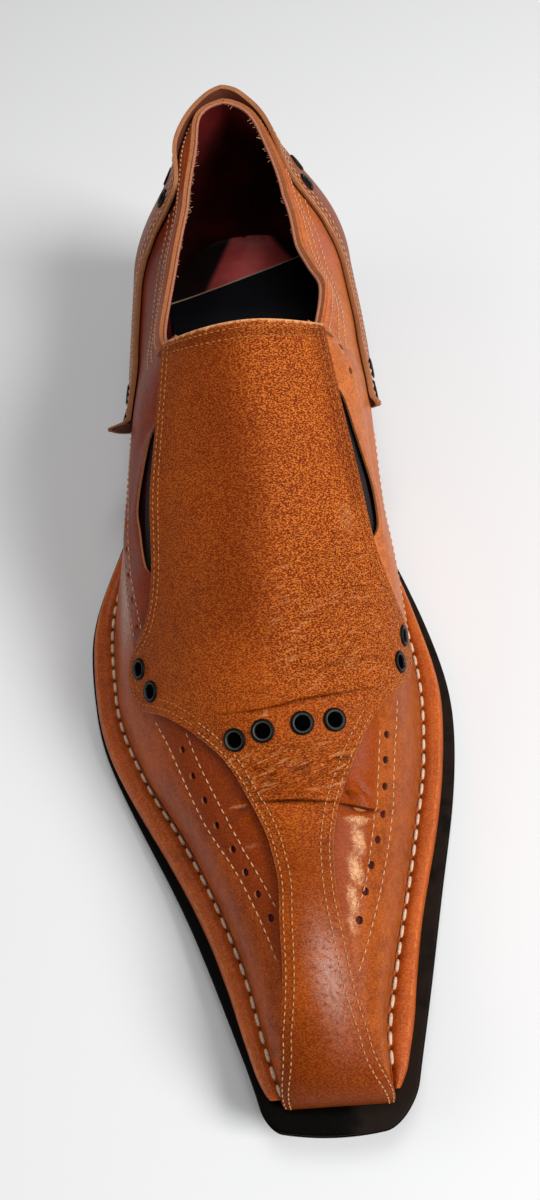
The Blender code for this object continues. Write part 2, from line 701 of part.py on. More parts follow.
def add_gore(name, side, finish):
    """Elastic strip that fills a side slot, a little below the leather."""
    rows = [q for q in FRONT_ROWS if GORE_FROM <= q <= GORE_TO]
    rows[0] += SEAT
    rows[-1] -= SEAT
    outer, inner = {}, {}
    for i, q in enumerate(rows):
        edge = apron_edge(side, q) + side * SEAT
        low = gore_line(side, q, apron_edge(side, q)) - side * SEAT
        for j in range(3):
            g = edge + (low - edge) * j / 2
            outer[i, j] = skin(q, g, -GORE_SINK)
            inner[i, j] = skin(q, g, -GORE_SINK - GORE_THICKNESS)
    return add_sheet(name, grid_cells(len(rows), 3), [outer, inner], finish)


def add_welt(name, side, finish):
    """Rolled strip that stands on the sole's rim against the wall of the upper."""
    stations = list(np.linspace(WELT_FRONT[side], WELT_REAR[side], WELT_ROWS))
    outline = {}
    for i, q in enumerate(stations):
        y = skin(q, feather_girth(q, side))[1]
        floor = sole_top(y) + SEAT
        ledge = float(smooth(WELT_LEDGE, WELT_LEDGE_COLUMNS, side_name(side), y))
        rim = sole_edge(side, y) - side * ledge
        height = float(smooth(WELT_HEIGHT, WELT_HEIGHT_COLUMNS, "height", y))
        foot = skin(q, feather_girth(q, side), LAYER_GAP)[0]
        head = skin(q, girth_at_height(q, side, floor + height), LAYER_GAP)[0]
        waist = skin(q, girth_at_height(q, side, floor + height / 2), LAYER_GAP)[0]
        wide = rim - head
        profile = [(foot, 0.0)] + [(rim - back * wide, up) for back, up in WELT_RIM_PROFILE]
        profile += [(head, WELT_HEAD), (waist, 0.5)]
        for j, (x, up) in enumerate(profile):
            outline[i, j] = (x, y, floor + height * up)
    count = len(WELT_RIM_PROFILE) + 3
    vertices = [outline[i, j] for i in range(len(stations)) for j in range(count)]
    faces = [list(range(count)), list(range((len(stations) - 1) * count, len(stations) * count))]
    for i in range(len(stations) - 1):
        for j in range(count):
            k = (j + 1) % count
            faces.append([i * count + j, (i + 1) * count + j, (i + 1) * count + k, i * count + k])
    return add_object(name, vertices, faces, finish)


def add_eyelet(name, q, g, lift, finish):
    """Flat metal ring lying on the leather, square to its surface."""
    reach = 1.0
    centre = Vector(skin(q, g, lift))
    along = Vector(skin(q + reach, g, lift)) - Vector(skin(q - reach, g, lift))
    around = Vector(skin(q, g + reach, lift)) - Vector(skin(q, g - reach, lift))
    normal = around.cross(along).normalized()
    if normal.dot(Vector(skin(q, g, lift + reach)) - centre) < 0:
        normal.negate()
    across = along.normalized()
    other = normal.cross(across)
    crown = (EYELET_OUTER + EYELET_INNER) / 2
    profile = [(EYELET_INNER, 0.0), (EYELET_OUTER, 0.0), (crown, EYELET_THICKNESS),
               (EYELET_INNER, EYELET_BORE_RISE * EYELET_THICKNESS)]
    vertices = []
    for k in range(EYELET_STEPS):
        angle = 2 * math.pi * k / EYELET_STEPS
        radial = across * math.cos(angle) + other * math.sin(angle)
        vertices += [centre + radial * r + normal * h for r, h in profile]
    faces = []
    count = len(profile)
    for k in range(EYELET_STEPS):
        after = (k + 1) % EYELET_STEPS
        for j in range(count):
            n = (j + 1) % count
            faces.append([k * count + j, after * count + j, after * count + n, k * count + n])
    return add_object(name, vertices, faces, finish)


def build():
    for old in list(bpy.data.objects):
        bpy.data.objects.remove(old)
    add_outsole(material("dark_sole", *DARK_SOLE))
    add_heel(material("dark_heel", *DARK_HEEL))
    add_insole(material("red_sock", *RED_SOCK))
    add_upper(material("tan_leather", *TAN_LEATHER))
    add_apron(material("grained_leather", *GRAINED_LEATHER))
    add_counter(material("counter_leather", *COUNTER_LEATHER))
    roll = material("welt_leather", *WELT_LEATHER)
    elastic = material("dark_elastic", *DARK_ELASTIC)
    for side in (LATERAL, MEDIAL):
        add_welt("welt_" + side_name(side), side, roll)
        add_gore("gore_" + side_name(side), side, elastic)
    enamel = material("black_enamel", *BLACK_ENAMEL)
    for name, (q, g) in APRON_EYELETS.items():
        add_eyelet(name, q, g, 2 * LAYER_GAP + APRON_THICKNESS, enamel)
    for name, (side, q, z) in COUNTER_EYELETS.items():
        lift = counter_lift(q, z) + COUNTER_THICKNESS + LAYER_GAP
        add_eyelet(name, q, girth_at_height(q, side, z), lift, enamel)


build()
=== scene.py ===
"""Looks of a square-toed slip-on dress shoe for the right foot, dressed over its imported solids.

The toe points to -Y, the heel to +Y and the outer (lateral) side of the foot to -X. Sizes are in
millimetres and become metres where a mesh is made.
"""
import math

import bmesh
import bpy
import numpy as np
from mathutils import Euler, Matrix, Vector
from mathutils.geometry import delaunay_2d_cdt
from mathutils.kdtree import KDTree


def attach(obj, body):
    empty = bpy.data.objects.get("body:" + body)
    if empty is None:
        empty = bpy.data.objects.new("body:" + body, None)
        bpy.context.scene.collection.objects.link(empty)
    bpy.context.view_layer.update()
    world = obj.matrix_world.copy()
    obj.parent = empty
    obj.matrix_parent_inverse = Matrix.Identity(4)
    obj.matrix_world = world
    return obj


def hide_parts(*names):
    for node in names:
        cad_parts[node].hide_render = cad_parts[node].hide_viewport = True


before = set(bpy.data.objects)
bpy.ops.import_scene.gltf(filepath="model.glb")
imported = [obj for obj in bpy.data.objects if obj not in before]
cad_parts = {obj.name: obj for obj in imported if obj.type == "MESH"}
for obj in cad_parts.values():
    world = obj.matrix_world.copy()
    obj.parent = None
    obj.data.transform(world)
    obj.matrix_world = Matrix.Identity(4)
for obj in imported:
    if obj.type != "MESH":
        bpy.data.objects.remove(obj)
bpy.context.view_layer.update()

# Outsole: one slab of sole leather, square at the toe and waisted under the arch. Its edge is
# planed smooth, scored with a fine line and waxed black-brown; the toe has worn grey.
MM = 0.001
LATERAL = -1
MEDIAL = 1
SIDES = (LATERAL, MEDIAL)
SIDE_NAMES = {LATERAL: "lateral", MEDIAL: "medial"}
SOLE = {
    "y": (112.0, 82.0, 51.0, 20.0, -5.0, -41.0, -62.0, -101.0, -132.0, -157.0),
    "lateral": (-30.5, -31.5, -38.0, -51.8, -59.9, -56.2, -47.8, -28.3, -15.7, -6.2),
    "medial": (38.5, 36.5, 36.0, 45.0, 53.5, 59.9, 57.6, 48.0, 40.0, 33.0),
    "bottom": (24.0, 20.5, 11.5, 3.0, 0.0, 0.0, 0.0, 2.2, 6.6, 11.3),
}
SOLE_THICKNESS = 5.5
SOLE_BACK = 159.0
PLAN_SOFTEN = 8.0
PLAN_SPREAD = 2.0
PLAN_TAPS = 9
SOLE_ROUND_FROM = 112.0
SOLE_TOE = -157.0
SOLE_TOE_BOW = 2.4
SOLE_TOE_LIP = 2.0
TOE_BOW_FROM = -135.0
TOE_CENTRE = 13.4
TOE_HALF_WIDTH = 19.6
TOE_CORNER = {LATERAL: 4.0, MEDIAL: 8.0}
HEEL_CENTRE = 4.0
HEEL_ROUNDNESS = 2.25
SOLE_CORNER_ROWS = 14
SOLE_BODY_ROWS = 200
SOLE_HEEL_ROWS = 44
SOLE_TOE_POINTS = 20
# Inset from the outline and height above the underside, from the top face down the edge.
SOLE_EDGE = ((1.2, 5.5), (0.75, 5.45), (0.5, 5.2), (0.45, 3.9), (0.75, 3.7), (0.75, 3.4), (0.1, 3.2),
             (0.0, 2.0), (0.05, 0.7), (0.35, 0.15), (0.9, 0.0))


def curve(table, column, at):
    """Monotone cubic through a table's rows, read at places along its first column."""
    places = np.array(next(iter(table.values())), float)
    order = np.argsort(places)
    x = places[order]
    y = np.array(table[column], float)[order]
    step = np.diff(x)
    slope = np.diff(y) / step
    tangent = np.concatenate([slope[:1], np.zeros(len(x) - 2), slope[-1:]])
    for i in range(1, len(x) - 1):
        if slope[i - 1] * slope[i] > 0:
            before = 2 * step[i] + step[i - 1]
            after = step[i] + 2 * step[i - 1]
            tangent[i] = (before + after) / (before / slope[i - 1] + after / slope[i])
    at = np.clip(np.asarray(at, float), x[0], x[-1])
    i = np.clip(np.searchsorted(x, at) - 1, 0, len(step) - 1)
    s = (at - x[i]) / step[i]
    start = (1 + 2 * s) * (1 - s) ** 2 * y[i] + s * (1 - s) ** 2 * step[i] * tangent[i]
    return start + s * s * (3 - 2 * s) * y[i + 1] + s * s * (s - 1) * step[i] * tangent[i + 1]


def rise(value, low, high):
    """Smooth step from 0 at low to 1 at high."""
    t = np.clip((np.asarray(value, float) - low) / (high - low), 0.0, 1.0)
    return t * t * (3 - 2 * t)


def sole_bottom(y):
    return curve(SOLE, "bottom", y)


def sole_top(y):
    return sole_bottom(y) + SOLE_THICKNESS


def plan_side(side, y):
    """Plan of one side from the table, rounded off over a few millimetres away from its ends."""
    y = np.asarray(y, float)
    spread = np.linspace(-PLAN_SPREAD, PLAN_SPREAD, PLAN_TAPS)
    weight = np.exp(-spread ** 2 / 2)
    room = np.minimum(y - SOLE_TOE, SOLE_ROUND_FROM - y)
    reach = np.clip(room / PLAN_SPREAD, 0.0, PLAN_SOFTEN)
    taps = [w * curve(SOLE, SIDE_NAMES[side], y + reach * s) for s, w in zip(spread, weight)]
    return sum(taps) / weight.sum()


def sole_edge(side, y):
    """Plan of one side: table in the foot, superellipse round the heel, rounded corner at the toe."""
    x = plan_side(side, y)
    turn = np.clip((y - SOLE_ROUND_FROM) / (SOLE_BACK - SOLE_ROUND_FROM), 0.0, 1.0)
    x = HEEL_CENTRE + (x - HEEL_CENTRE) * (1 - turn ** HEEL_ROUNDNESS) ** (1 / HEEL_ROUNDNESS)
    corner = TOE_CORNER[side]
    into_corner = np.clip(corner - (y - SOLE_TOE), 0.0, corner)
    return x - side * (corner - np.sqrt(corner ** 2 - into_corner ** 2))


def heel_round():
    """Rows round the back of the heel, closer together towards the back."""
    turn = np.sin(np.linspace(0.0, math.pi / 2, SOLE_HEEL_ROWS)[1:-1]) ** (2 / HEEL_ROUNDNESS)
    return SOLE_ROUND_FROM + (SOLE_BACK - SOLE_ROUND_FROM) * turn


def plan_loop(y, front):
    """Loop round a plan: lateral side to the back, medial side to the front, then the front edge."""
    lateral = np.stack([sole_edge(LATERAL, y), y], 1)
    medial = np.stack([sole_edge(MEDIAL, y), y], 1)[::-1]
    x = np.linspace(medial[-1, 0], lateral[0, 0], SOLE_TOE_POINTS + 2)[1:-1]
    return np.concatenate([lateral, medial, np.stack([x, front(x)], 1)])


def inset_loop(loop, inset, height):
    """The loop drawn in by an inset and set at a height for each place along the foot."""
    along = np.roll(loop, -1, 0) - np.roll(loop, 1, 0)
    along /= np.linalg.norm(along, axis=1)[:, None]
    drawn = loop + inset * np.stack([along[:, 1], -along[:, 0]], 1)
    return np.column_stack([drawn, height(loop[:, 1])])


def tube(rows, ring):
    """Faces of a tube from rows of points, each row a closed ring."""
    return [(r * ring + k, r * ring + (k + 1) % ring, (r + 1) * ring + (k + 1) % ring, (r + 1) * ring + k)
            for r in range(rows - 1) for k in range(ring)]


def slab(rings, rows):
    """Points and faces of a slab from rings round its outline, top first, capped side to side."""
    size = len(rings[0])
    points = [np.concatenate(rings)]
    faces = tube(len(rings), size)
    count = len(rings) * size
    share = (np.arange(SOLE_TOE_POINTS) + 1) / (SOLE_TOE_POINTS + 1)
    for r in (0, len(rings) - 1):
        start = r * size
        row = [start, *range(start + size - 1, start + 2 * rows - 1, -1), start + 2 * rows - 1]
        for i in range(1, rows - 1):
            left, right = rings[r][i], rings[r][2 * rows - 1 - i]
            points.append(left + (right - left) * share[:, None])
            after = [start + i, *range(count, count + SOLE_TOE_POINTS), start + 2 * rows - 1 - i]
            count += SOLE_TOE_POINTS
            faces += [(row[k], row[k + 1], after[k + 1], after[k]) for k in range(len(row) - 1)]
            row = after
        faces.append((*row, start + rows, start + rows - 1))
    return np.concatenate(points), faces


class Wire:
    """One output of a material's nodes: sums on wires add Math nodes, node() adds any other node."""

    def __init__(self, tree, socket=None):
        self.tree = tree
        self.socket = socket

    def node(self, kind, settings, inputs, output=0):
        made = self.tree.nodes.new("ShaderNode" + kind)
        for name, value in settings.items():
            setattr(made, name, value)
        for name, value in inputs.items():
            if isinstance(value, Wire):
                self.tree.links.new(value.socket, made.inputs[name])
            else:
                made.inputs[name].default_value = value
        return Wire(self.tree, made.outputs[output])

    def sum(self, operation, first, second):
        return self.node("Math", {"operation": operation}, {0: first, 1: second})

    def __add__(self, other):
        return self.sum("ADD", self, other)

    def __radd__(self, other):
        return self.sum("ADD", other, self)

    def __sub__(self, other):
        return self.sum("SUBTRACT", self, other)

    def __rsub__(self, other):
        return self.sum("SUBTRACT", other, self)

    def __mul__(self, other):
        return self.sum("MULTIPLY", self, other)

    def __rmul__(self, other):
        return self.sum("MULTIPLY", other, self)

    def between(self, low, high):
        """0 below low, 1 above high, smooth between them."""
        span = {"Value": self, "From Min": low, "From Max": high}
        return self.node("MapRange", {"interpolation_type": "SMOOTHSTEP"}, span)

    def mix(self, first, second):
        """First colour where this wire is 0, second where it is 1."""
        return self.node("Mix", {"data_type": "RGBA"}, {0: self, 6: first, 7: second}, 2)

    def place(self):
        return self.node("TexCoord", {}, {}, "Object")

    def mark(self, name):
        """A mark that the mesh carries at its points."""
        return self.node("Attribute", {"attribute_name": name}, {}, "Fac")

    def noise(self, place, size, detail, output="Fac"):
        """Soft noise whose lumps are about a size in millimetres."""
        lumps = {"Vector": place, "Scale": 1 / (size * MM), "Detail": detail}
        return self.node("TexNoise", {}, lumps, output)

    def stretch(self, place, by):
        """A place multiplied along each axis, so that what is drawn there grows where that is small."""
        return self.node("VectorMath", {"operation": "MULTIPLY"}, {0: place, 1: by})

    def relief(self, height, depth):
        """Normal of a surface with this relief, a depth in millimetres from lowest to highest."""
        return self.node("Bump", {}, {"Height": height, "Distance": depth * MM, "Strength": 1.0})


def dye(red, green, blue):
    """Linear colour from red, green and blue as the eye counts them, 0 to 255."""
    shares = (c / 255 for c in (red, green, blue))
    return (*(s / 12.92 if s < 0.04045 else ((s + 0.055) / 1.055) ** 2.4 for s in shares), 1.0)


def make_finish(name, paint, even):
    """Principled material: paint gives the wires that vary, even the sockets that stay the same."""
    made = bpy.data.materials.new(name)
    made.use_nodes = True
    tree = made.node_tree
    shader = tree.nodes["Principled BSDF"]
    for socket, value in even.items():
        shader.inputs[socket].default_value = value
    for socket, wire in paint(Wire(tree)).items():
        tree.links.new(wire.socket, shader.inputs[socket])
    return made


def dress(name, points, faces, finishes, kinds=None, marks=None, replaced=(), sharp=40.0):
    """Object from points in millimetres, faces turned outward, riding on the shoe's one body."""
    mesh = bpy.data.meshes.new(name)
    mesh.from_pydata((np.asarray(points) * MM).tolist(), [], faces)
    for finish in finishes:
        mesh.materials.append(finish)
    if kinds is not None:
        mesh.polygons.foreach_set("material_index", np.minimum(kinds, len(finishes) - 1))
    for mark, values in (marks or {}).items():
        mesh.attributes.new(mark, "FLOAT", "POINT").data.foreach_set("value", np.asarray(values, np.float32))
    shape = bmesh.new()
    shape.from_mesh(mesh)
    bmesh.ops.recalc_face_normals(shape, faces=shape.faces)
    shape.to_mesh(mesh)
    shape.free()
    mesh.shade_smooth()
    mesh.set_sharp_from_angle(angle=math.radians(sharp))
    made = bpy.data.objects.new(name, mesh)
    bpy.context.scene.collection.objects.link(made)
    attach(made, "root")
    if replaced:
        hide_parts(*replaced)
    return made


SOLE_WAX = dye(5, 4, 3)
# Brown of worn wax; the same brown paints the highlight on the top face.
SOLE_WORN_AND_LIT = dye(34, 26, 21)
SOLE_TOE_WEAR = -120.0
# Height of the worn lower edge, heights between which the top face begins, and where across the foot
# its inner side gets a painted highlight.
SOLE_WORN_EDGE = 3.0
SOLE_TOP_FACE = (4.6, 5.4)
SOLE_TOP_HIGHLIGHT = (10.0, 25.0)


def waxed_sole(start):
    place = start.place()
    grain = start.noise(place, 0.7, 4.0)
    patch = start.noise(place, 6.0, 3.0)
    # The mark brings out brown: wear at the toe and the lower edge, painted highlight on the top face.
    worn_and_lit = (start.mark("wear_and_highlight") + patch - 0.75).between(0.0, 0.45)
    colour = worn_and_lit.mix(SOLE_WAX, SOLE_WORN_AND_LIT)
    return {"Base Color": colour, "Roughness": 0.38 + 0.25 * worn_and_lit + 0.2 * grain,
            "Normal": start.relief(grain, 0.12)}


toe_rows = SOLE_TOE + max(TOE_CORNER.values()) * (1 - np.cos(np.linspace(0.0, math.pi / 2, SOLE_CORNER_ROWS)))
body_rows = np.linspace(toe_rows[-1], SOLE_ROUND_FROM, SOLE_BODY_ROWS)[1:]
sole_rows = np.concatenate([toe_rows, body_rows, heel_round()])
sole_loop = plan_loop(sole_rows, lambda x: np.full_like(x, SOLE_TOE))
near_toe = np.clip((TOE_BOW_FROM - sole_loop[:, 1]) / (TOE_BOW_FROM - SOLE_TOE), 0.0, 1.0)
sole_loop[:, 1] -= SOLE_TOE_LIP * near_toe ** 3
sole_loop[:, 1] -= SOLE_TOE_BOW * near_toe ** 2 * (1 - ((sole_loop[:, 0] - TOE_CENTRE) / TOE_HALF_WIDTH) ** 2)
sole_rings = [inset_loop(sole_loop, inset, lambda y, up=up: sole_bottom(y) + up) for inset, up in SOLE_EDGE]
sole_points, sole_faces = slab(sole_rings, len(sole_rows))
above = sole_points[:, 2] - sole_bottom(sole_points[:, 1])
low_edge = 1 - rise(above, 0.0, SOLE_WORN_EDGE)
sole_wear_and_highlight = rise(-sole_points[:, 1], -SOLE_TOE_WEAR, -SOLE_TOE) * (0.15 + 0.5 * low_edge) + 0.3 * low_edge
# Painted highlight: the top face on the inner side, which faces the light, turns brown.
sole_wear_and_highlight += 0.6 * rise(above, *SOLE_TOP_FACE) * rise(sole_points[:, 0], *SOLE_TOP_HIGHLIGHT)
sole_finish = make_finish("waxed_sole", waxed_sole, {"Specular IOR Level": 0.04})
dress("sole_slab", sole_points, sole_faces, [sole_finish], marks={"wear_and_highlight": sole_wear_and_highlight},
      replaced=["outsole"])

# Heel: a block of stacked lifts under the heel seat, with a hollowed front face. The lifts are
# glued and nailed, ground flush to the sole and waxed in the same colour; the lowest is rubber.
SEAT = 0.3
HEEL_BREAST = 88.0
HEEL_BREAST_CURVE = 5.0
HEEL_ROWS = 24
# Inset from the sole's outline and share of the heel's height, from the top down over the joints.
HEEL_SIDE = ((1.8, 1.0), (1.1, 0.98), (1.2, 0.74), (1.6, 0.73), (1.6, 0.71), (1.3, 0.7), (1.5, 0.49),
             (1.9, 0.48), (1.9, 0.46), (1.6, 0.45), (1.9, 0.27), (2.5, 0.26), (2.5, 0.23), (2.1, 0.22),
             (2.4, 0.04), (3.0, 0.0))
HEEL_WAX = dye(10, 7, 6)


def heel_height(share):
    return lambda y: (sole_bottom(np.maximum(y, HEEL_BREAST)) - SEAT) * share


def breast(x):
    """Hollow of the heel's front face."""
    left, right = sole_edge(LATERAL, HEEL_BREAST), sole_edge(MEDIAL, HEEL_BREAST)
    across = (2 * x - left - right) / (right - left)
    return HEEL_BREAST + HEEL_BREAST_CURVE * (1 - across ** 2)


def waxed_heel(start):
    place = start.place()
    grain = start.noise(place, 0.5, 4.0)
    patch = start.noise(place, 9.0, 3.0)
    colour = patch.between(0.55, 0.8).mix(HEEL_WAX, SOLE_WORN_AND_LIT)
    return {"Base Color": (0.85 - 0.5 * grain).between(0.2, 0.9).mix(colour, HEEL_WAX),
            "Roughness": 0.35 + 0.25 * grain, "Normal": start.relief(grain, 0.1)}


heel_rows = np.concatenate([np.linspace(HEEL_BREAST, SOLE_ROUND_FROM, HEEL_ROWS), heel_round()])
heel_loop = plan_loop(heel_rows, breast)
heel_rings = [inset_loop(heel_loop, inset, heel_height(share)) for inset, share in HEEL_SIDE]
heel_points, heel_faces = slab(heel_rings, len(heel_rows))
heel_finish = make_finish("waxed_heel", waxed_heel, {"Specular IOR Level": 0.08})
dress("heel_stack", heel_points, heel_faces, [heel_finish], replaced=["heel"])

# Insole: a board inside the feather line, covered with a burgundy leather sock and, from the
# waist forward, a dark navy pad whose rear edge is a thin beige line. Everything is glued down.
LAST = {
    "y": (-158.0, -140.0, -120.0, -100.0, -80.0, -60.0, -30.0, 0.0, 20.0, 42.0, 70.0, 110.0),
    "inset_lateral": (7.0, 8.0, 11.0, 11.5, 11.8, 10.0, 7.9, 7.2, 7.0, 6.0, 4.0, 4.0),
    "inset_medial": (4.6, 9.8, 11.0, 10.6, 10.3, 9.8, 8.6, 8.0, 5.0, 3.5, 3.0, 4.0),
    "belly_lateral": (0.8, -4.3, -9.4, -17.0, -26.5, -37.7, -46.5, -45.5, -40.5, -36.5, -34.5, -32.8),
    "belly_medial": (28.6, 27.9, 31.9, 37.3, 42.0, 46.0, 47.5, 46.0, 44.0, 43.0, 42.5, 40.5),
    "belly_z": (23.0, 20.5, 19.0, 17.0, 17.0, 18.0, 19.0, 26.0, 32.0, 42.0, 48.0, 50.0),
    "shoulder_lateral": (4.5, 0.5, -4.0, -11.0, -19.5, -26.5, -31.0, -31.0, -28.0, -24.5, -17.0, -11.5),
    "shoulder_medial": (25.0, 26.0, 27.5, 30.0, 34.0, 36.5, 38.0, 37.0, 35.5, 35.0, 29.0, 23.0),
    "shoulder_z_lateral": (28.0, 29.0, 30.5, 32.0, 34.0, 38.0, 44.5, 60.0, 71.0, 79.0, 82.0, 83.0),
    "shoulder_z_medial": (28.0, 29.0, 31.0, 33.0, 36.0, 41.0, 50.0, 66.0, 76.0, 83.0, 83.0, 83.0),
    "ridge_x": (15.0, 13.5, 11.5, 9.0, 7.0, 5.0, 4.0, 5.0, 6.0, 7.0, 6.0, 5.5),
    "ridge_z": (30.0, 34.0, 37.5, 41.0, 45.5, 52.0, 65.0, 81.5, 94.0, 106.5, 108.0, 108.0),
}
HEEL_BACK = {"z": (20.0, 31.0, 52.0, 75.0, 97.0, 125.0), "y": (151.5, 153.0, 156.0, 153.0, 147.0, 139.0)}
HEEL_FROM = 110.0
HEEL_END = 165.0
COLLAR_ROUNDNESS = 1.95
COLLAR_CENTRE = 4.5
COLLAR_CHANGE = (50.0, 90.0)
TOE_FROM = -138.0
TOE_END = -160.0
TOE_FRONT = -152.5
TOE_ROUNDNESS = 3.0
TOE_PINCH = 0.06
TOE_PINCH_POWER = 6
STATION_STEP = 0.5
GIRTH_STEPS = 140
STATIONS = np.arange(TOE_END, HEEL_END + STATION_STEP / 2, STATION_STEP)


def reach_along(line):
    """Length of a line from its start to each of its points."""
    return np.concatenate([[0.0], np.cumsum(np.linalg.norm(np.diff(line, axis=0), axis=1))])


def through_points(points):
    """Smooth line from the feather line over belly and shoulder, level where it meets the ridge."""
    length = np.linalg.norm(np.diff(points, axis=0), axis=1)
    chord = np.diff(points, axis=0) / length[:, None]
    tangent = np.zeros_like(points)
    for i in (1, 2):
        tangent[i] = (length[i] * chord[i - 1] + length[i - 1] * chord[i]) / (length[i - 1] + length[i])
    tangent[0] = 1.5 * chord[0] - 0.5 * tangent[1]
    tangent[3] = (math.copysign(1.0, chord[2][0]), 0.0)
    reach = np.concatenate([[0.0], np.cumsum(length)])
    along = np.linspace(0.0, reach[-1], GIRTH_STEPS)
    i = np.clip(np.searchsorted(reach, along, side="right") - 1, 0, 2)
    s = ((along - reach[i]) / length[i])[:, None]
    span = length[i][:, None]
    start = (1 + 2 * s) * (1 - s) ** 2 * points[i] + s * (1 - s) ** 2 * span * tangent[i]
    return start + s * s * (3 - 2 * s) * points[i + 1] + s * s * (s - 1) * span * tangent[i + 1]


def half_section(side, y):
    """Half of the last's cross-section from the ridge to the feather line, in even steps of girth."""
    row = {name: float(curve(LAST, name, y)) for name in LAST}
    name = SIDE_NAMES[side]
    feather = float(sole_edge(side, np.clip(y, SOLE_TOE + TOE_CORNER[side], HEEL_FROM)))
    line = through_points(np.array([
        (feather - side * row["inset_" + name], float(sole_top(y))),
        (row["belly_" + name], row["belly_z"]),
        (row["shoulder_" + name], row["shoulder_z_" + name]),
        (row["ridge_x"], row["ridge_z"]),
    ]))[::-1]
    reach = reach_along(line)
    even = np.linspace(0.0, reach[-1], GIRTH_STEPS)
    return np.stack([np.interp(even, reach, line[:, k]) for k in (0, 1)], 1), reach[-1]


def last_skin():
    """Points and normals of the last on every station, from the lateral to the medial feather line.

    Round the heel and down the toe the stations turn like the hours of a clock, so that the same
    cross-section narrows to the back seam or sinks to the toe's front edge.
    """
    heel_angle = math.pi / 2 * np.clip((STATIONS - HEEL_FROM) / (HEEL_END - HEEL_FROM), 0.0, 1.0)[:, None]
    toe_angle = math.pi / 2 * np.clip((TOE_FROM - STATIONS) / (TOE_FROM - TOE_END), 0.0, 1.0)[:, None]
    advance = np.sin(toe_angle) ** (2 / TOE_ROUNDNESS)
    front_rows = TOE_FROM - (TOE_FROM - TOE_FRONT) * advance[:, 0]
    rows = np.where(STATIONS < TOE_FROM, front_rows, np.minimum(STATIONS, HEEL_FROM))
    lateral = [half_section(LATERAL, y) for y in rows]
    medial = [half_section(MEDIAL, y) for y in rows]
    flat = np.array([np.concatenate([a[0][::-1], b[0][1:]]) for a, b in zip(lateral, medial)])
    girth = {LATERAL: np.array([a[1] for a in lateral]), MEDIAL: np.array([b[1] for b in medial])}
    x, z = flat[:, :, 0].copy(), flat[:, :, 1].copy()
    y = np.repeat(rows[:, None], x.shape[1], 1)
    up = np.clip((z - COLLAR_CHANGE[0]) / (COLLAR_CHANGE[1] - COLLAR_CHANGE[0]), 0.0, 1.0)
    centre = HEEL_CENTRE + (COLLAR_CENTRE - HEEL_CENTRE) * up
    power = 2 / (HEEL_ROUNDNESS + (COLLAR_ROUNDNESS - HEEL_ROUNDNESS) * up)
    heel = np.repeat(STATIONS[:, None] > HEEL_FROM, x.shape[1], 1)
    x = np.where(heel, centre + (x - centre) * np.maximum(np.cos(heel_angle), 0.0) ** power, x)
    y = np.where(heel, HEEL_FROM + (curve(HEEL_BACK, "y", z) - HEEL_FROM) * np.sin(heel_angle) ** power, y)
    middle = (flat[:, :1, 0] + flat[:, -1:, 0]) / 2
    floor = flat[:, :1, 1]
    x = np.where(heel, x, middle + (x - middle) * (1 - TOE_PINCH * advance ** TOE_PINCH_POWER))
    z = np.where(heel, z, floor + (z - floor) * np.maximum(np.cos(toe_angle), 0.0) ** (2 / TOE_ROUNDNESS))
    z = np.maximum(z, sole_top(y) + SEAT)
    skin_points = np.stack([x, y, z], 2)
    normals = np.cross(np.gradient(skin_points, axis=1), np.gradient(skin_points, axis=0))
    normals /= np.maximum(np.linalg.norm(normals, axis=2, keepdims=True), 1e-9)
    return skin_points, normals, girth, flat[:, :, 1]


SKIN, SKIN_NORMALS, GIRTHS, SECTION_HEIGHTS = last_skin()


def station_share(q):
    row = np.clip((np.asarray(q, float) - TOE_END) / STATION_STEP, 0.0, len(STATIONS) - 1.001)
    whole = row.astype(int)
    return whole, row - whole


def feather_girth(q, side):
    """Girth from the ridge to the feather line, negative on the lateral side."""
    i, s = station_share(q)
    return side * (GIRTHS[side][i] * (1 - s) + GIRTHS[side][i + 1] * s)


# The inner side is drawn in below the slot: place, reach along and round the foot, depth.
SIDE_TUCK = (20.0, 60.0, 24.0, 13.0, 3.0)


def spot(q, g, form):
    """Soft-edged spot: its form is a place, a reach along and round the foot, and the amount there."""
    at, round_at, along, across, amount = form
    return amount * np.exp(-((q - at) / along) ** 2 - ((g - round_at) / across) ** 2)


def skin(q, g, lift=0.0):
    """Points of the last's skin at stations and girths, lifted off it along its normal."""
    q, g, lift = np.broadcast_arrays(np.asarray(q, float), np.asarray(g, float), np.asarray(lift, float))
    lift = lift - spot(q, g, SIDE_TUCK)
    i, s = station_share(q)
    reach = np.where(g < 0, -feather_girth(q, LATERAL), feather_girth(q, MEDIAL))
    column = np.clip((1 + g / reach) * (GIRTH_STEPS - 1), 0.0, 2 * GIRTH_STEPS - 2.001)
    j = column.astype(int)
    t = (column - j)[..., None]
    s = s[..., None]

    def read(table):
        first = table[i, j] * (1 - t) + table[i, j + 1] * t
        return first * (1 - s) + (table[i + 1, j] * (1 - t) + table[i + 1, j + 1] * t) * s

    normal = read(SKIN_NORMALS)
    normal /= np.maximum(np.linalg.norm(normal, axis=-1, keepdims=True), 1e-9)
    return read(SKIN) + lift[..., None] * normal


def girth_at_height(q, side, z):
    """Girth at which one side of the cross-section reaches a height."""
    q, z = np.broadcast_arrays(np.asarray(q, float), np.asarray(z, float))
    i, s = station_share(q)
    half = slice(0, GIRTH_STEPS) if side == LATERAL else slice(None, GIRTH_STEPS - 2, -1)
    share = np.linspace(1.0, 0.0, GIRTH_STEPS)
    found = np.zeros((2, *q.shape))
    for k in (0, 1):
        for row in np.unique(i):
            pick = i == row
            found[k, pick] = np.interp(z[pick], SECTION_HEIGHTS[row + k, half], share * GIRTHS[side][row + k])
    return side * (found[0] * (1 - s) + found[1] * s)


def net(rows, columns):
    """Faces of a net of points, row by row."""
    return [(i * columns + j, i * columns + j + 1, (i + 1) * columns + j + 1, (i + 1) * columns + j)
            for i in range(rows - 1) for j in range(columns - 1)]


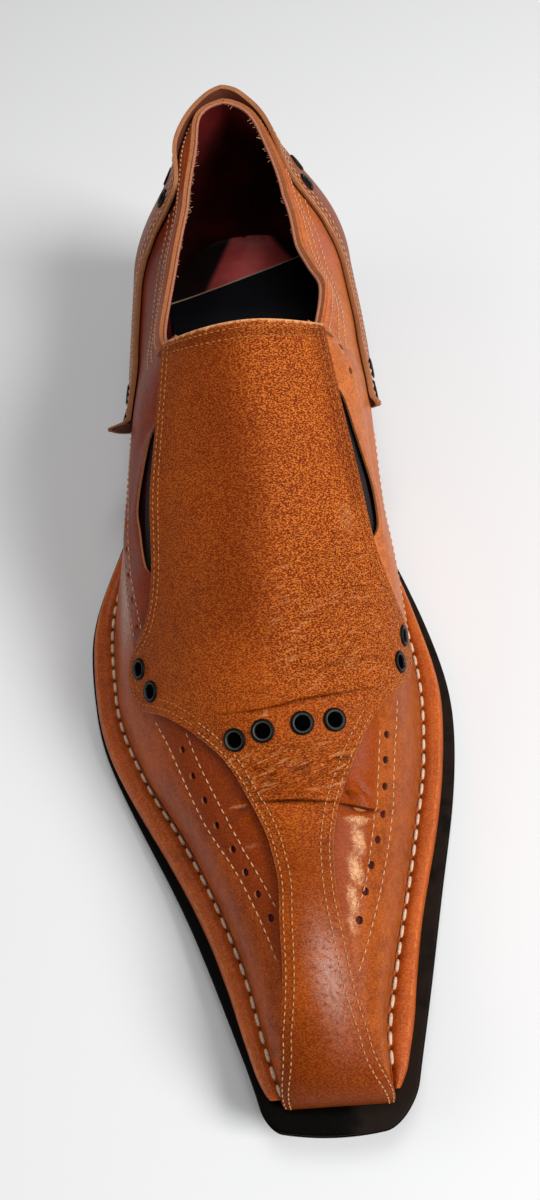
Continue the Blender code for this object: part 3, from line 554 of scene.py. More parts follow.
def closed_sheet(outer, inner, faces, edge=None):
    """Points, faces, kind of each face (0 front, 1 back, 2 cut edge) and each point's own place.

    The cut edge runs along every side that one face has, over a rounded middle line if given.
    """
    size = len(outer)
    sides = {(face[k - 1], face[k]) for face in faces for k in range(len(face))}
    rim = sorted((a, b) for a, b in sides if (b, a) not in sides)
    rim_points = sorted({a for a, _ in rim} | {b for _, b in rim})
    points = [outer, inner]
    source = [np.arange(size), np.arange(size)]
    back = {p: p + size for p in rim_points}
    made = list(faces) + [tuple(p + size for p in reversed(face)) for face in faces]
    kinds = [0] * len(faces) + [1] * len(faces)
    layers = [{p: p for p in rim_points}, back]
    if edge is not None:
        points.append(edge[rim_points])
        source.append(np.array(rim_points))
        layers.insert(1, {p: 2 * size + k for k, p in enumerate(rim_points)})
    for upper, lower in zip(layers, layers[1:]):
        made += [(upper[b], upper[a], lower[a], lower[b]) for a, b in rim]
        kinds += [2] * len(rim)
    return np.concatenate(points), made, kinds, np.concatenate(source)


def dress_sheet(name, sheet, finishes, marks=None, replaced=()):
    """Dress a closed sheet; its marks are given at the places that it was made from."""
    points, faces, kinds, source = sheet
    marks = {mark: values[source] for mark, values in (marks or {}).items()}
    return dress(name, points, faces, finishes, kinds, marks, replaced)


WALL = 2.2
INSOLE_THICKNESS = 3.0
INSOLE_CLEARANCE = 0.6
INSOLE_ROWS = 160
INSOLE_ACROSS = 25
INSOLE_DISH = 0.7
SOCK_RED = dye(220, 100, 94)
SOCK_DEEP = dye(188, 72, 70)
SOCK_SHADE = dye(26, 9, 10)
SOCK_RUB_AND_HIGHLIGHT = dye(206, 150, 144)
PAD_NAVY = dye(6, 6, 13)
PAD_EDGE = dye(186, 156, 132)
# Painted shade darkens the sock towards both walls, and a painted highlight with some rubbing lies pale
# at the back. The lit part lies between two slanting lines: place across the foot at one place along
# it, and slope.
SOCK_LIT = {LATERAL: (-9.1, 0.391), MEDIAL: (24.8, -0.534)}
SOCK_LIT_FROM = 130.0
SOCK_FADE = 1.6
SOCK_RUB_AND_HIGHLIGHT_SPAN = (143.0, 149.0)
# Two places on the rear edge of the pad, and the width of its beige line.
PAD_FROM = (-8.7, 125.3)
PAD_TO = (19.5, 135.1)
PAD_LINE = 0.7


def sock_paint(start):
    place = start.place()
    split = start.node("SeparateXYZ", {}, {"Vector": place})
    across = Wire(start.tree, split.socket.node.outputs[0])
    along = Wire(start.tree, split.socket.node.outputs[1])
    slope = (PAD_TO[1] - PAD_FROM[1]) / (PAD_TO[0] - PAD_FROM[0])
    behind = along - slope * across - (PAD_FROM[1] - slope * PAD_FROM[0]) * MM
    grain = start.noise(place, 0.8, 4.0)
    patch = start.noise(place, 14.0, 3.0)
    red = patch.between(0.35, 0.7).mix(SOCK_DEEP, SOCK_RED)
    # Painted highlight with some rubbing at the back, and painted shade towards both walls.
    rub_and_highlight = along.between(SOCK_RUB_AND_HIGHLIGHT_SPAN[0] * MM, SOCK_RUB_AND_HIGHLIGHT_SPAN[1] * MM) * patch.between(0.3, 0.7)
    lit_part = 1.0
    for side, (line, lean) in SOCK_LIT.items():
        inward = side * (line * MM + lean * (along - SOCK_LIT_FROM * MM) - across)
        lit_part = lit_part * inward.between(-SOCK_FADE * MM, SOCK_FADE * MM)
    red = lit_part.mix(SOCK_SHADE, (rub_and_highlight * 0.8).mix(red, SOCK_RUB_AND_HIGHLIGHT))
    pad = behind.between(-PAD_LINE * MM, -0.8 * PAD_LINE * MM).mix(PAD_NAVY, PAD_EDGE)
    colour = behind.between(0.0, 0.2 * PAD_LINE * MM).mix(pad, red)
    return {"Base Color": colour, "Roughness": 0.4 + 0.25 * grain, "Normal": start.relief(grain, 0.15)}


board_rows = np.linspace(TOE_FROM, HEEL_END - 0.6, INSOLE_ROWS)
board_edge = {}
for side in SIDES:
    foot = skin(board_rows, feather_girth(board_rows, side), -WALL - INSOLE_CLEARANCE)
    above = girth_at_height(board_rows, side, sole_top(foot[:, 1]) + SEAT + INSOLE_THICKNESS)
    wall = skin(board_rows, above, -WALL - INSOLE_CLEARANCE)
    board_edge[side] = np.where((side * wall[:, :1] < side * foot[:, :1]), wall, foot)
board_y = np.minimum(board_edge[LATERAL][:, 1], board_edge[MEDIAL][:, 1])
board_share = np.linspace(0.0, 1.0, INSOLE_ACROSS)
board_x = board_edge[LATERAL][:, :1] + (board_edge[MEDIAL][:, :1] - board_edge[LATERAL][:, :1]) * board_share
board_floor = np.repeat((sole_top(board_y) + SEAT)[:, None], INSOLE_ACROSS, 1)
board_long = np.repeat(board_y[:, None], INSOLE_ACROSS, 1)
dish = INSOLE_DISH * (2 * board_share - 1) ** 4 - INSOLE_DISH
board_top = np.stack([board_x, board_long, board_floor + INSOLE_THICKNESS + dish], 2).reshape(-1, 3)
board_low = np.stack([board_x, board_long, board_floor], 2).reshape(-1, 3)
board = closed_sheet(board_top, board_low, net(INSOLE_ROWS, INSOLE_ACROSS))
sock_finish = make_finish("sock_leather", sock_paint, {"Specular IOR Level": 0.2})
dress_sheet("sock", board, [sock_finish], replaced=["insole"])

# Lining: the inside of the upper, thin dark burgundy leather stretched over the last and glued
# to the panels. It is one shell from the toe to the back seam, open at the collar and below.
COLLAR = {"q": (43.3, 55.0, 70.0, 90.0, 110.0, 130.0, 150.0, 165.0),
          "z": (91.0, 86.0, 82.5, 81.5, 84.0, 88.5, 91.8, 93.0)}
THROAT = 36.5
THROAT_CORNER = 43.3
APRON_EDGE = {
    LATERAL: {"q": (43.3, 27.0, 8.0, -8.0, -18.0, -24.0, -29.0, -33.0, -40.0, -45.0, -51.8, -58.6, -67.9,
                    -79.0, -91.0, -99.0, -111.0, -124.0, -140.0, -151.0, -160.0),
              "girth": (-27.8, -30.0, -33.1, -35.0, -37.4, -41.0, -50.0, -51.6, -50.4, -46.6, -33.0, -23.5,
                        -14.5, -9.7, -6.2, -5.6, -7.4, -9.4, -13.6, -17.6, -20.6)},
    MEDIAL: {"q": (43.3, 27.5, 5.0, -10.0, -18.0, -23.0, -28.0, -32.0, -38.0, -44.0, -50.8, -59.2, -69.0,
                   -83.0, -95.0, -108.0, -124.0, -139.0, -151.0, -160.0),
             "girth": (26.8, 29.1, 33.2, 36.6, 40.5, 45.0, 55.5, 58.0, 56.0, 48.5, 36.2, 27.8, 20.8, 12.9,
                       9.4, 8.3, 8.4, 10.2, 15.2, 19.0)},
}
LINING_OUTER = -1.3
LINING_SKIVE = 0.7
LINING_FRONT_ROWS = 130
LINING_REAR_ROWS = 90
LINING_UP = 22
LINING_OVER = 30
# Where the worn collar stands off its line: station, reach along the collar, amount.
COLLAR_WAVES = {LATERAL: ((66.0, 20.0, 0.9), (145.0, 11.0, 3.0)),
                MEDIAL: ((91.0, 9.0, -1.9), (69.0, 7.0, 1.9), (50.0, 8.0, -3.0), (143.0, 10.0, 1.0))}
COLLAR_WAVE_DEPTH = 30.0
# The waves begin behind the corner of the throat, between these places from it.
COLLAR_WAVE_FROM = (-4.0, 6.0)
LINING_RED = dye(92, 22, 22)
LINING_DARK = dye(46, 15, 16)


def collar_girth(q, side):
    return girth_at_height(q, side, curve(COLLAR, "z", q))


def apron_girth(side, q):
    """Girth of the apron's edge on one side."""
    return curve(APRON_EDGE[side], "girth", q)


def hump(value, at, reach, power=2):
    """1 at a place, soft to 0 beyond a reach; a higher power makes the top flatter."""
    return np.exp(-((value - at) / reach) ** power)


def slack(q, g, side):
    """How far the worn leather near the collar stands off the last."""
    below = np.clip((np.abs(g) - np.abs(collar_girth(q, side))) / COLLAR_WAVE_DEPTH, 0.0, 1.0)
    wave = sum(size * hump(q, at, reach) for at, reach, size in COLLAR_WAVES[side])
    return wave * (1 - below) ** 2 * rise(q - THROAT_CORNER, *COLLAR_WAVE_FROM)


def lining_paint(start):
    place = start.place()
    grain = start.noise(place, 0.9, 5.0)
    patch = start.noise(place, 22.0, 3.0)
    return {"Base Color": patch.between(0.35, 0.7).mix(LINING_DARK, LINING_RED),
            "Roughness": 0.45 + 0.25 * grain, "Normal": start.relief(grain, 0.15)}


def lining_places():
    """Stations and girths of the front dome and of the band round the heel, as two nets."""
    columns = 2 * LINING_UP + LINING_OVER + 1
    across = np.clip((np.arange(columns) - LINING_UP) / LINING_OVER * 2 - 1, -1.0, 1.0)
    throat = THROAT + (THROAT_CORNER - THROAT) * across ** 2
    share = np.linspace(0.02, 1.0, LINING_FRONT_ROWS)[:, None]
    q = TOE_END + share * (throat - TOE_END)
    left, right = (apron_girth(side, q) for side in SIDES)
    up = np.arange(LINING_UP + 1) / LINING_UP
    g = left + (right - left) * (across + 1) / 2
    low = slice(0, LINING_UP + 1)
    high = slice(columns - LINING_UP - 1, columns)
    g[:, low] = feather_girth(q[:, low], LATERAL) * (1 - up) + left[:, low] * up
    g[:, high] = right[:, high] * (1 - up) + feather_girth(q[:, high], MEDIAL) * up
    turn = np.linspace(THROAT_CORNER, HEEL_END, LINING_REAR_ROWS)
    band_q = np.repeat(turn[:, None], LINING_UP + 1, 1)
    band_g = {side: feather_girth(band_q, side) * (1 - up) + collar_girth(turn, side)[:, None] * up
              for side in SIDES}
    return q, g, band_q, band_g


def lining_layer(lift, thinned=0.0):
    """One face of the lining, drawn out by an amount where it is skived thin at the collar."""
    q, g, band_q, band_g = lining_places()
    lift_band = lift + thinned * (np.arange(LINING_UP + 1) / LINING_UP) ** 6
    rear = [skin(band_q, band_g[side], lift_band + slack(band_q, band_g[side], side)) for side in SIDES]
    band = np.concatenate([rear[0][1:], rear[1][-2:0:-1]])
    return np.concatenate([skin(q, g, lift).reshape(-1, 3), band.reshape(-1, 3)])


dome_columns = 2 * LINING_UP + LINING_OVER + 1
dome_faces = net(LINING_FRONT_ROWS, dome_columns)
band_rows = 2 * LINING_REAR_ROWS - 3
band_index = np.arange(band_rows * (LINING_UP + 1)).reshape(band_rows, -1) + LINING_FRONT_ROWS * dome_columns
last_row = (LINING_FRONT_ROWS - 1) * dome_columns
band_index = np.vstack([last_row + np.arange(LINING_UP + 1), band_index,
                        last_row + dome_columns - 1 - np.arange(LINING_UP + 1)])
band_faces = [tuple(int(band_index[a, b]) for a, b in ((i, j), (i, j + 1), (i + 1, j + 1), (i + 1, j)))
              for i in range(band_rows + 1) for j in range(LINING_UP)]
shell_faces = dome_faces + [face[::-1] for face in band_faces]
shell = closed_sheet(lining_layer(LINING_OUTER), lining_layer(-WALL, LINING_SKIVE), shell_faces)
lining_finish = make_finish("lining_leather", lining_paint, {"Specular IOR Level": 0.1})
dress_sheet("lining", shell, [lining_finish], replaced=["upper"])

# Vamp: a smooth leather panel on each side, lasted from under the apron down to the feather line.
# A band beside the toe strip is marked by two rows of thread with a row of punched holes between.
VAMP_OUTER = -0.4
VAMP_INNER = -1.25
VAMP_REAR = 66.0
UNDERLAP = 5.0
# Where the upper edge passes from the apron to the quarter.
VAMP_TURN = (-30.0, -18.0)
HOLE_RADIUS = 1.12
HOLE_POINTS = 16
# Reach over which the stretch of the flat pattern is read round a hole.
HOLE_PROBE = 0.5
CUT_STEP = 1.25
# Share of a step that points inside a pattern keep from its border.
CUT_CLEAR = 0.6
FOLD_STEP = 0.6
FOLD_HALF = 0.28
QUARTER_LOW = {
    LATERAL: {"q": (-30.0, -19.0, -6.0, 6.0, 20.0, 40.0, 70.0, 110.0, 165.0),
              "girth": (-50.5, -54.0, -57.2, -57.0, -62.0, -72.0, -81.0, -86.0, -90.0)},
    MEDIAL: {"q": (-30.0, -14.0, -4.0, 6.0, 20.0, 40.0, 70.0, 110.0, 165.0),
             "girth": (68.0, 76.0, 79.0, 81.0, 83.0, 85.0, 88.0, 90.0, 92.0)},
}
BAND_HOLES = {
    LATERAL: ((-61.6, -30.0), (-69.2, -27.8), (-76.2, -25.2), (-83.4, -22.5), (-90.4, -18.5), (-96.8, -15.8),
              (-102.8, -13.2), (-109.2, -10.8)),
    MEDIAL: ((-62.2, 34.0), (-69.1, 32.0), (-76.2, 30.0), (-83.6, 27.9), (-90.4, 24.5), (-97.1, 21.0),
             (-103.9, 17.5), (-111.2, 13.8)),
}
BAND_THREADS = {
    LATERAL: (((-50.4, -41.6), (-60.2, -35.5), (-80.6, -28.0), (-98.6, -18.0), (-112.5, -13.3),
               (-121.2, -11.2)),
              ((-57.2, -27.8), (-73.2, -22.2), (-88.2, -16.2), (-103.2, -9.8), (-108.6, -8.0))),
    MEDIAL: (((-50.8, 42.5), (-67.6, 36.4), (-82.5, 32.2), (-97.2, 26.2), (-115.1, 16.0), (-125.2, 9.8)),
             ((-61.2, 31.5), (-76.9, 27.0), (-88.6, 23.0), (-103.6, 17.0), (-112.1, 10.0))),
}
# Creases where the foot bends: line, depth, width, height of the swelling, overlap or not.
VAMP_FOLDS = {
    LATERAL: ((((-79.5, -9.0), (-81.5, -15.0), (-82.0, -20.0)), 0.5, 1.0, 0.4, False),
              (((-92.0, -8.5), (-89.5, -13.0), (-88.5, -17.0)), 0.3, 1.1, 0.3, False),
              (((-85.5, -9.0), (-86.0, -14.0), (-85.0, -18.0)), 0.15, 1.2, 0.1, False)),
    MEDIAL: ((((-81.4, 12.5), (-82.2, 18.0), (-82.8, 23.0), (-82.8, 27.5)), 1.2, 2.2, 0.9, True),
             (((-76.5, 15.0), (-79.0, 17.0), (-81.8, 20.5)), 0.7, 1.0, 0.5, False),
             (((-76.0, 20.5), (-79.0, 22.5), (-81.5, 25.0)), 0.5, 0.9, 0.4, False),
             (((-88.0, 17.0), (-90.0, 21.0)), 0.3, 1.4, 0.25, False),
             (((-100.0, 15.0), (-103.0, 18.0)), 0.2, 1.2, 0.2, False)),
}
# Pale scuffs, and painted highlights on the ridges of the outer creases and by the inner fold:
# place, reach along and across the foot, strength.
VAMP_SCUFFS_AND_HIGHLIGHTS = {
    LATERAL: ((-80.0, -14.0, 0.9, 5.0, 0.95), (-90.5, -12.0, 1.0, 4.0, 0.9), (-97.0, -11.0, 4.0, 3.0, 0.5)),
    MEDIAL: ((-91.0, 18.0, 6.0, 3.2, 1.0), (-98.5, 15.6, 6.0, 3.2, 1.05), (-106.0, 13.2, 6.0, 2.8, 1.0),
             (-112.0, 11.6, 4.0, 2.2, 0.9), (-85.6, 19.0, 1.5, 5.6, 1.1), (-78.4, 15.0, 1.5, 1.5, 1.0)),
}
# Main, deep and pale colour of scuffs and painted highlights, and the tinge of the marked part of each panel.
VAMP_DYES = {
    LATERAL: (dye(178, 78, 16), dye(114, 38, 0), dye(214, 150, 110), dye(126, 44, 0)),
    MEDIAL: (dye(166, 79, 20), dye(114, 42, 0), dye(228, 176, 128), dye(142, 54, 0)),
}
# The tinge reaches from the apron to the outer row of thread, or to the inner one.
TINGE_ROW = {LATERAL: 0, MEDIAL: 1}
TINGE_FADE = (-0.8, 0.4)
TINGE_END = (-48.0, -40.0)
RAW_EDGE = dye(176, 104, 54)
PALE_THREAD = dye(222, 170, 122)
# Red, green and blue gain of the tops of the grain, rubbed bright and painted with glints, and of the
# dye between them, deepened with painted shade.
RUB_AND_GLINT_GAIN = (1.6, 2.5, 8.0)
VALLEY_AND_SHADE_GAIN = (0.62, 0.24, 0.05)
# Gain of the painted shade in creases, seams and furrows.
CREASE_SHADE_GAIN = 0.18
# Strength of the grain of smooth leather, and how much more where the mesh is marked for painted
# glints and shade.
SMOOTH_BITE = 0.16
GLINT_BITE = 0.3
# Sizes of the lumps of colour, from specks to clouds.
SPECK = 1.1
MOTTLE = 3.2
PATCH = 11.0
CLOUD = 40.0
# The pebbles of the grain are a share of a pore, and longer across the foot than along it.
PEBBLE_SHARE = 0.62
PEBBLE_STRETCH = (0.55, 1.0, 0.9)
# Fine wrinkles run across the foot and lean by an angle in radians.
RIPPLE = 1.1
RIPPLE_STRETCH = (0.17, 1.0, 0.8)
RIPPLE_LEAN = -0.3
# Painted grey sheen, a reflection of the light, on the outer side where the foot is widest: place and
# reach along and round the foot, strength.
PAINTED_SHEEN_GREY = dye(206, 188, 178)
SIDE_PAINTED_SHEEN = (-9.0, -62.0, 13.0, 9.0, 0.7)
# Painted shade, a dark line on the vamp beside the apron: strength, reach, and the stretch of the
# foot it follows.
APRON_SHADE = 0.6
APRON_SHADE_REACH = 1.1
APRON_SHADE_SPAN = (-160.0, -20.0)
THREAD_PITCH = 2.4
THREAD_LENGTH = 1.75
THREAD_RADIUS = 0.2
THREAD_RINGS = 7
THREAD_TURNS = 6
# Height of a stitch over the leather and how far its ends dip, in radii.
THREAD_RISE = 0.75
THREAD_DIP = 1.5
# The thread presses a shallow groove into the leather: depth and reach.
THREAD_GROOVE = 0.16
THREAD_GROOVE_REACH = 0.9
# Stitches stay this far from the middle of an eyelet.
CLEAR_OF_RING = 4.0


def even_line(points, step):
    """A bent line through points, in even steps."""
    points = np.asarray(points, float)
    reach = reach_along(points)
    even = np.linspace(0.0, reach[-1], max(int(round(reach[-1] / step)), 1) + 1)
    return np.stack([np.interp(even, reach, points[:, k]) for k in (0, 1)], 1)


def bend(points, step=0.6):
    """A smooth line through a few points."""
    points = np.asarray(points, float)
    reach = reach_along(points)
    table = {"reach": reach, "q": points[:, 0], "g": points[:, 1]}
    even = np.linspace(0.0, reach[-1], max(int(reach[-1] / step), 2))
    return np.stack([curve(table, "q", even), curve(table, "g", even)], 1)


def inside(points, loop):
    """Which flat points lie inside a closed loop."""
    found = np.zeros(len(points), bool)
    for a, b in zip(loop, np.roll(loop, -1, 0)):
        crosses = (a[1] > points[:, 1]) != (b[1] > points[:, 1])
        slope = (b[0] - a[0]) / (b[1] - a[1] if b[1] != a[1] else 1e-9)
        found ^= crosses & (points[:, 0] < a[0] + slope * (points[:, 1] - a[1]))
    return found


def inner_line(line, inset):
    """A line moved sideways, to the left of its own direction, in the flat pattern."""
    along = np.gradient(line, axis=0)
    along /= np.linalg.norm(along, axis=1)[:, None]
    return line + inset * np.stack([-along[:, 1], along[:, 0]], 1)


def fold_runs(folds, outline, holes, radius):
    """Rows of points on both sides of every overlapping fold, broken at an edge or a hole."""
    border = np.concatenate([outline, outline[:1]])
    runs = []
    for path, _, _, _, overlap in folds:
        line = even_line(bend(path), FOLD_STEP)
        for inset in (-FOLD_HALF, FOLD_HALF) if overlap else ():
            row = inner_line(line, inset)
            keep = inside(row, outline) & (from_line(row, border)[0] > FOLD_STEP)
            for hole in holes:
                keep &= np.linalg.norm(row - np.array(hole), axis=1) > radius + FOLD_STEP
            kept = np.flatnonzero(keep)
            parts = np.split(kept, np.flatnonzero(np.diff(kept) > 1) + 1)
            runs += [row[part] for part in parts if len(part) > 1]
    return runs


def round_hole(hole, radius, solid):
    """Loop in the flat pattern that becomes a round hole on the solid piece."""
    turn = np.linspace(0.0, 2 * math.pi, HOLE_POINTS, endpoint=False)
    circle = radius * np.stack([np.cos(turn), np.sin(turn)], 1)
    ends = solid(np.array(hole) + HOLE_PROBE * np.array(((1, 0), (-1, 0), (0, 1), (0, -1))))
    slopes = np.stack([ends[0] - ends[1], ends[2] - ends[3]], 1) / (2 * HOLE_PROBE)
    return np.array(hole) + circle @ np.linalg.inv(np.linalg.qr(slopes)[1]).T


def cut_pattern(outline, solid, holes=(), step=CUT_STEP, radius=HOLE_RADIUS, folds=()):
    """Flat pattern of a piece: points, triangles and the outward way at each point of a cut edge.

    Solid gives the solid points for flat ones.
    """
    outline = even_line(np.concatenate([outline, outline[:1]]), step)[:-1]
    loops = [outline] + [round_hole(hole, radius, solid) for hole in holes]
    runs = fold_runs(folds, outline, holes, radius)
    border = np.concatenate(loops + runs)
    tree = KDTree(len(border))
    for k, p in enumerate(border):
        tree.insert((*p, 0.0), k)
    tree.balance()
    low, high = outline.min(0), outline.max(0)
    rows = np.arange(low[0], high[0], step * math.sqrt(3) / 2)
    lines = np.arange(low[1], high[1], step)
    grid = np.array([(q, g + step / 2 * (k % 2)) for k, q in enumerate(rows) for g in lines])
    grid = grid[inside(grid, outline)]
    grid = grid[[tree.find((*p, 0.0))[2] > CUT_CLEAR * step for p in grid]]
    for loop in loops[1:]:
        grid = grid[~inside(grid, loop)]
    edges = []
    start = 0
    for loop in loops:
        edges += [(start + k, start + (k + 1) % len(loop)) for k in range(len(loop))]
        start += len(loop)
    for run in runs:
        edges += [(start + k, start + k + 1) for k in range(len(run) - 1)]
        start += len(run)
    flat = [Vector(p) for p in np.concatenate([border, grid])]
    made = delaunay_2d_cdt(flat, edges, [list(range(len(outline)))], 1, 1e-6)
    points = np.array([tuple(p) for p in made[0]])
    triangles = np.array([tuple(f) for f in made[2]])
    centres = points[triangles].mean(1)
    for loop in loops[1:]:
        keep = ~inside(centres, loop)
        triangles, centres = triangles[keep], centres[keep]
    outward = np.zeros_like(points)
    sides = {(int(t[k - 1]), int(t[k])) for t in triangles for k in range(3)}
    for a, b in sorted(sides):
        if (b, a) not in sides:
            along = points[b] - points[a]
            across = np.array((along[1], -along[0])) / np.linalg.norm(along)
            outward[a] += across
            outward[b] += across
    outward /= np.maximum(np.linalg.norm(outward, axis=1), 1e-9)[:, None]
    return points, [tuple(int(i) for i in t) for t in triangles], outward


def from_line(points, line):
    """Distance of flat points from a bent line, the side they are on and the share along it."""
    best = np.full(len(points), 1e9)
    side = np.zeros(len(points))
    share = np.zeros(len(points))
    length = np.linalg.norm(np.diff(line, axis=0), axis=1)
    reach = np.concatenate([[0.0], np.cumsum(length)])
    for k, (a, b) in enumerate(zip(line, line[1:])):
        along = (b - a) / length[k]
        t = np.clip((points - a) @ along, 0.0, length[k])
        away = points - a - t[:, None] * along
        distance = np.linalg.norm(away, axis=1)
        near = distance < best
        best[near] = distance[near]
        side[near] = np.sign(along[0] * away[near, 1] - along[1] * away[near, 0])
        share[near] = (reach[k] + t[near]) / reach[-1]
    return best, side, share


def crease(points, folds):
    """Lift that creases give flat points, and the painted shade that darkens them.

    A plain crease is a trough with a swelling on both sides. In an overlap the leather behind the
    line bulges over the leather in front of it, with no trough of its own.
    """
    lift = np.zeros(len(points))
    dark = np.zeros(len(points))
    for path, depth, width, swell, overlap in folds:
        distance, side, share = from_line(points, bend(path))
        fade = np.sin(math.pi * np.clip(share, 0.04, 0.96)) ** 0.7
        near = hump(distance, 0.0, width) * fade
        if overlap:
            behind = rise(-side * distance, -0.25, 0.25)
            bulge = swell * behind * hump(distance, 0.0, 3 * width) * fade
            lift += bulge - depth * (1 - behind) * near
            shade = hump(distance, 0.0, 0.6 * width) * (1 - 0.6 * behind)
        else:
            ridge = hump(distance, 2.2 * width, 1.3 * width) * fade
            lift += swell * ridge - depth * near
            shade = hump(distance, 0.0, 0.7 * width)
        dark = np.maximum(dark, np.clip(1.2 * depth, 0.0, 1.0) * shade * fade)
    return lift, dark


def spot_mark(points, spots):
    """Strongest of some spots at flat points."""
    mark = np.zeros(len(points))
    for form in spots:
        mark = np.maximum(mark, spot(*points.T, form))
    return mark


def capped_tube(rows, ring):
    """Faces of a tube closed at both ends."""
    return tube(rows, ring) + [tuple(range(ring)), tuple(range((rows - 1) * ring, rows * ring))]


def thread_row(lines, lift, name, finish, pitch=THREAD_PITCH, length=THREAD_LENGTH, clear=()):
    """Rows of stitches along flat lines: each stitch is a short rounded thread that dips at its ends.

    No stitch comes near the solid places to be kept clear.
    """
    share = np.linspace(-1.0, 1.0, THREAD_RINGS)
    thick = np.sqrt(np.maximum(1 - np.abs(share) ** 3, 0.06))
    height = THREAD_RISE - THREAD_DIP * np.abs(share) ** 3
    turn = np.linspace(0.0, 2 * math.pi, THREAD_TURNS, endpoint=False)
    form = np.array([(s * length / 2, THREAD_RADIUS * t * math.cos(a), THREAD_RADIUS * (h + t * math.sin(a)))
                     for s, t, h in zip(share, thick, height) for a in turn])
    faces = capped_tube(THREAD_RINGS, THREAD_TURNS)
    points = []
    made = []
    for line in lines:
        dense = even_line(line, 0.25)
        solid = skin(*dense.T, lift(dense))
        reach = reach_along(solid)
        for at in np.arange(pitch / 2, reach[-1] - pitch / 2, pitch):
            ends = np.interp((at - length / 2, at, at + length / 2), reach, np.arange(len(reach)))
            back, middle, front = (int(round(e)) for e in ends)
            if any(np.linalg.norm(solid[middle] - place) < CLEAR_OF_RING for place in clear):
                continue
            along = solid[front] - solid[back]
            along /= max(np.linalg.norm(along), 1e-9)
            normal = skin(*dense[middle], 1.0) - skin(*dense[middle])
            across = np.cross(normal, along)
            across /= max(np.linalg.norm(across), 1e-9)
            up = np.cross(along, across)
            centre = (solid[back] + solid[middle] + solid[front]) / 3
            made += [tuple(len(points) * len(form) + p for p in face) for face in faces]
            points.append(centre + form @ np.stack([along, across, up]))
    return dress(name, np.concatenate(points), made, [finish], sharp=80.0)


def toned(colour, gain):
    """A colour with one gain for all, or a gain each for red, green and blue."""
    return (*(min(c * k, 1.0) for c, k in zip(colour, np.broadcast_to(gain, 3))), 1.0)


def leather(name, main, deep, pale, pore, depth, even, tinge=None, bite=SMOOTH_BITE):
    """Dyed leather: clouded colour, grain, wrinkles, creases darkened by painted shade, pale scuffs and
    painted highlights, a tinge and a painted grey sheen.

    Pore is the size of the grain and depth the height of its relief. Bite says how strongly the
    pebbles' valleys darken and their tops brighten: dye gathered there and rubbed off, with painted shade
    and painted glints on top of it.
    """
    valley_and_shade = toned(deep, VALLEY_AND_SHADE_GAIN)
    rub_and_highlight = toned(main, RUB_AND_GLINT_GAIN)
    dark = toned(deep, CREASE_SHADE_GAIN)

    def paint(start):
        place = start.place()
        bent = start.noise(place, pore / 0.6, 2.0, "Color")
        amount = (0.9 * pore * MM,) * 3
        warped = start.node("VectorMath", {"operation": "MULTIPLY_ADD"}, {0: bent, 1: amount, 2: place})
        cells = {"Vector": warped, "Scale": 1 / (pore * MM)}
        dome = start.node("TexVoronoi", {"feature": "DISTANCE_TO_EDGE"}, cells).between(0.0, 0.3)
        longer = start.stretch(place, PEBBLE_STRETCH)
        pebble = start.noise(longer, PEBBLE_SHARE * pore, 0.8).between(0.36, 0.64)
        fine = start.noise(place, 0.5 * pore, 3.0)
        speck = start.noise(place, SPECK, 5.0)
        mottle = start.noise(place, MOTTLE, 3.0)
        patch = start.noise(place, PATCH, 4.0)
        cloud = start.noise(place, CLOUD, 2.0)
        lean = {"Vector": place, "Angle": RIPPLE_LEAN}
        leaning = start.node("VectorRotate", {"rotation_type": "Z_AXIS"}, lean)
        ripple = start.noise(start.stretch(leaning, RIPPLE_STRETCH), RIPPLE, 3.0)
        wrinkled = start.mark("wrinkle")
        furrow = start.node("Math", {"operation": "ABSOLUTE"}, {0: 2 * ripple - 1})
        furrow = wrinkled * (1 - furrow.between(0.0, 0.14))
        crest = wrinkled * ripple.between(0.58, 0.67)
        # The grain's painted contrast is stronger where the mesh is marked for painted glints.
        grain = (1 - 0.4 * start.mark("smooth")) * (bite + GLINT_BITE * start.mark("painted_glint"))
        tone = speck * 0.3 + mottle * 0.35 + patch * 0.35 + cloud * 0.2 - 0.1
        colour = tone.between(0.28, 0.72).mix(deep, main)
        tinged = start.mark("tinge")
        if tinge:
            colour = (tinged * (0.7 + 0.3 * patch)).mix(colour, tinge)
        # Dark dye and painted shade in the valleys; rubbed tops and painted glints on the pebbles.
        colour = ((1 - pebble) * grain).mix(colour, valley_and_shade)
        colour = (pebble * pebble * grain * (1.25 - 0.6 * tinged)).mix(colour, rub_and_highlight)
        # Painted highlight on the crests of the wrinkles.
        colour = (crest * 0.3).mix(colour, pale)
        # Pale scuffs, and painted highlights where the mark stands for them.
        scuffed_and_lit = (start.mark("scuff_and_highlight") * (1.1 * speck + 1.3 * fine - 0.3)).between(0.4, 1.2)
        colour = scuffed_and_lit.mix(colour, pale)
        # Painted grey sheen of reflected light.
        painted_sheen = start.mark("painted_sheen") * (0.55 + 0.45 * dome) * speck.between(0.2, 0.6)
        colour = painted_sheen.mix(colour, PAINTED_SHEEN_GREY)
        # Painted shade in creases, along marked seams and edges, and in the furrows of the wrinkles.
        crease_shade = (start.mark("dark") * (0.6 + 0.6 * fine) + 0.35 * furrow).between(0.1, 0.9)
        colour = (crease_shade * 0.85).mix(colour, dark)
        height = grain * (dome * 0.3 + pebble * 0.5 + fine * 0.2) - 0.6 * furrow
        rough = even["Roughness"] + 0.25 * (patch - 0.5) + 0.12 * (1 - dome) + 0.1 * scuffed_and_lit
        return {"Base Color": colour, "Roughness": rough, "Normal": start.relief(height, depth)}

    return make_finish(name, paint, even)


def cut_edge_paint(colour):
    """Raw fibres of a cut edge or of a leather's back."""
    def paint(start):
        fibre = start.noise(start.place(), 0.4, 4.0)
        return {"Base Color": fibre.between(0.3, 0.7).mix(toned(colour, 0.55), colour)}

    return paint


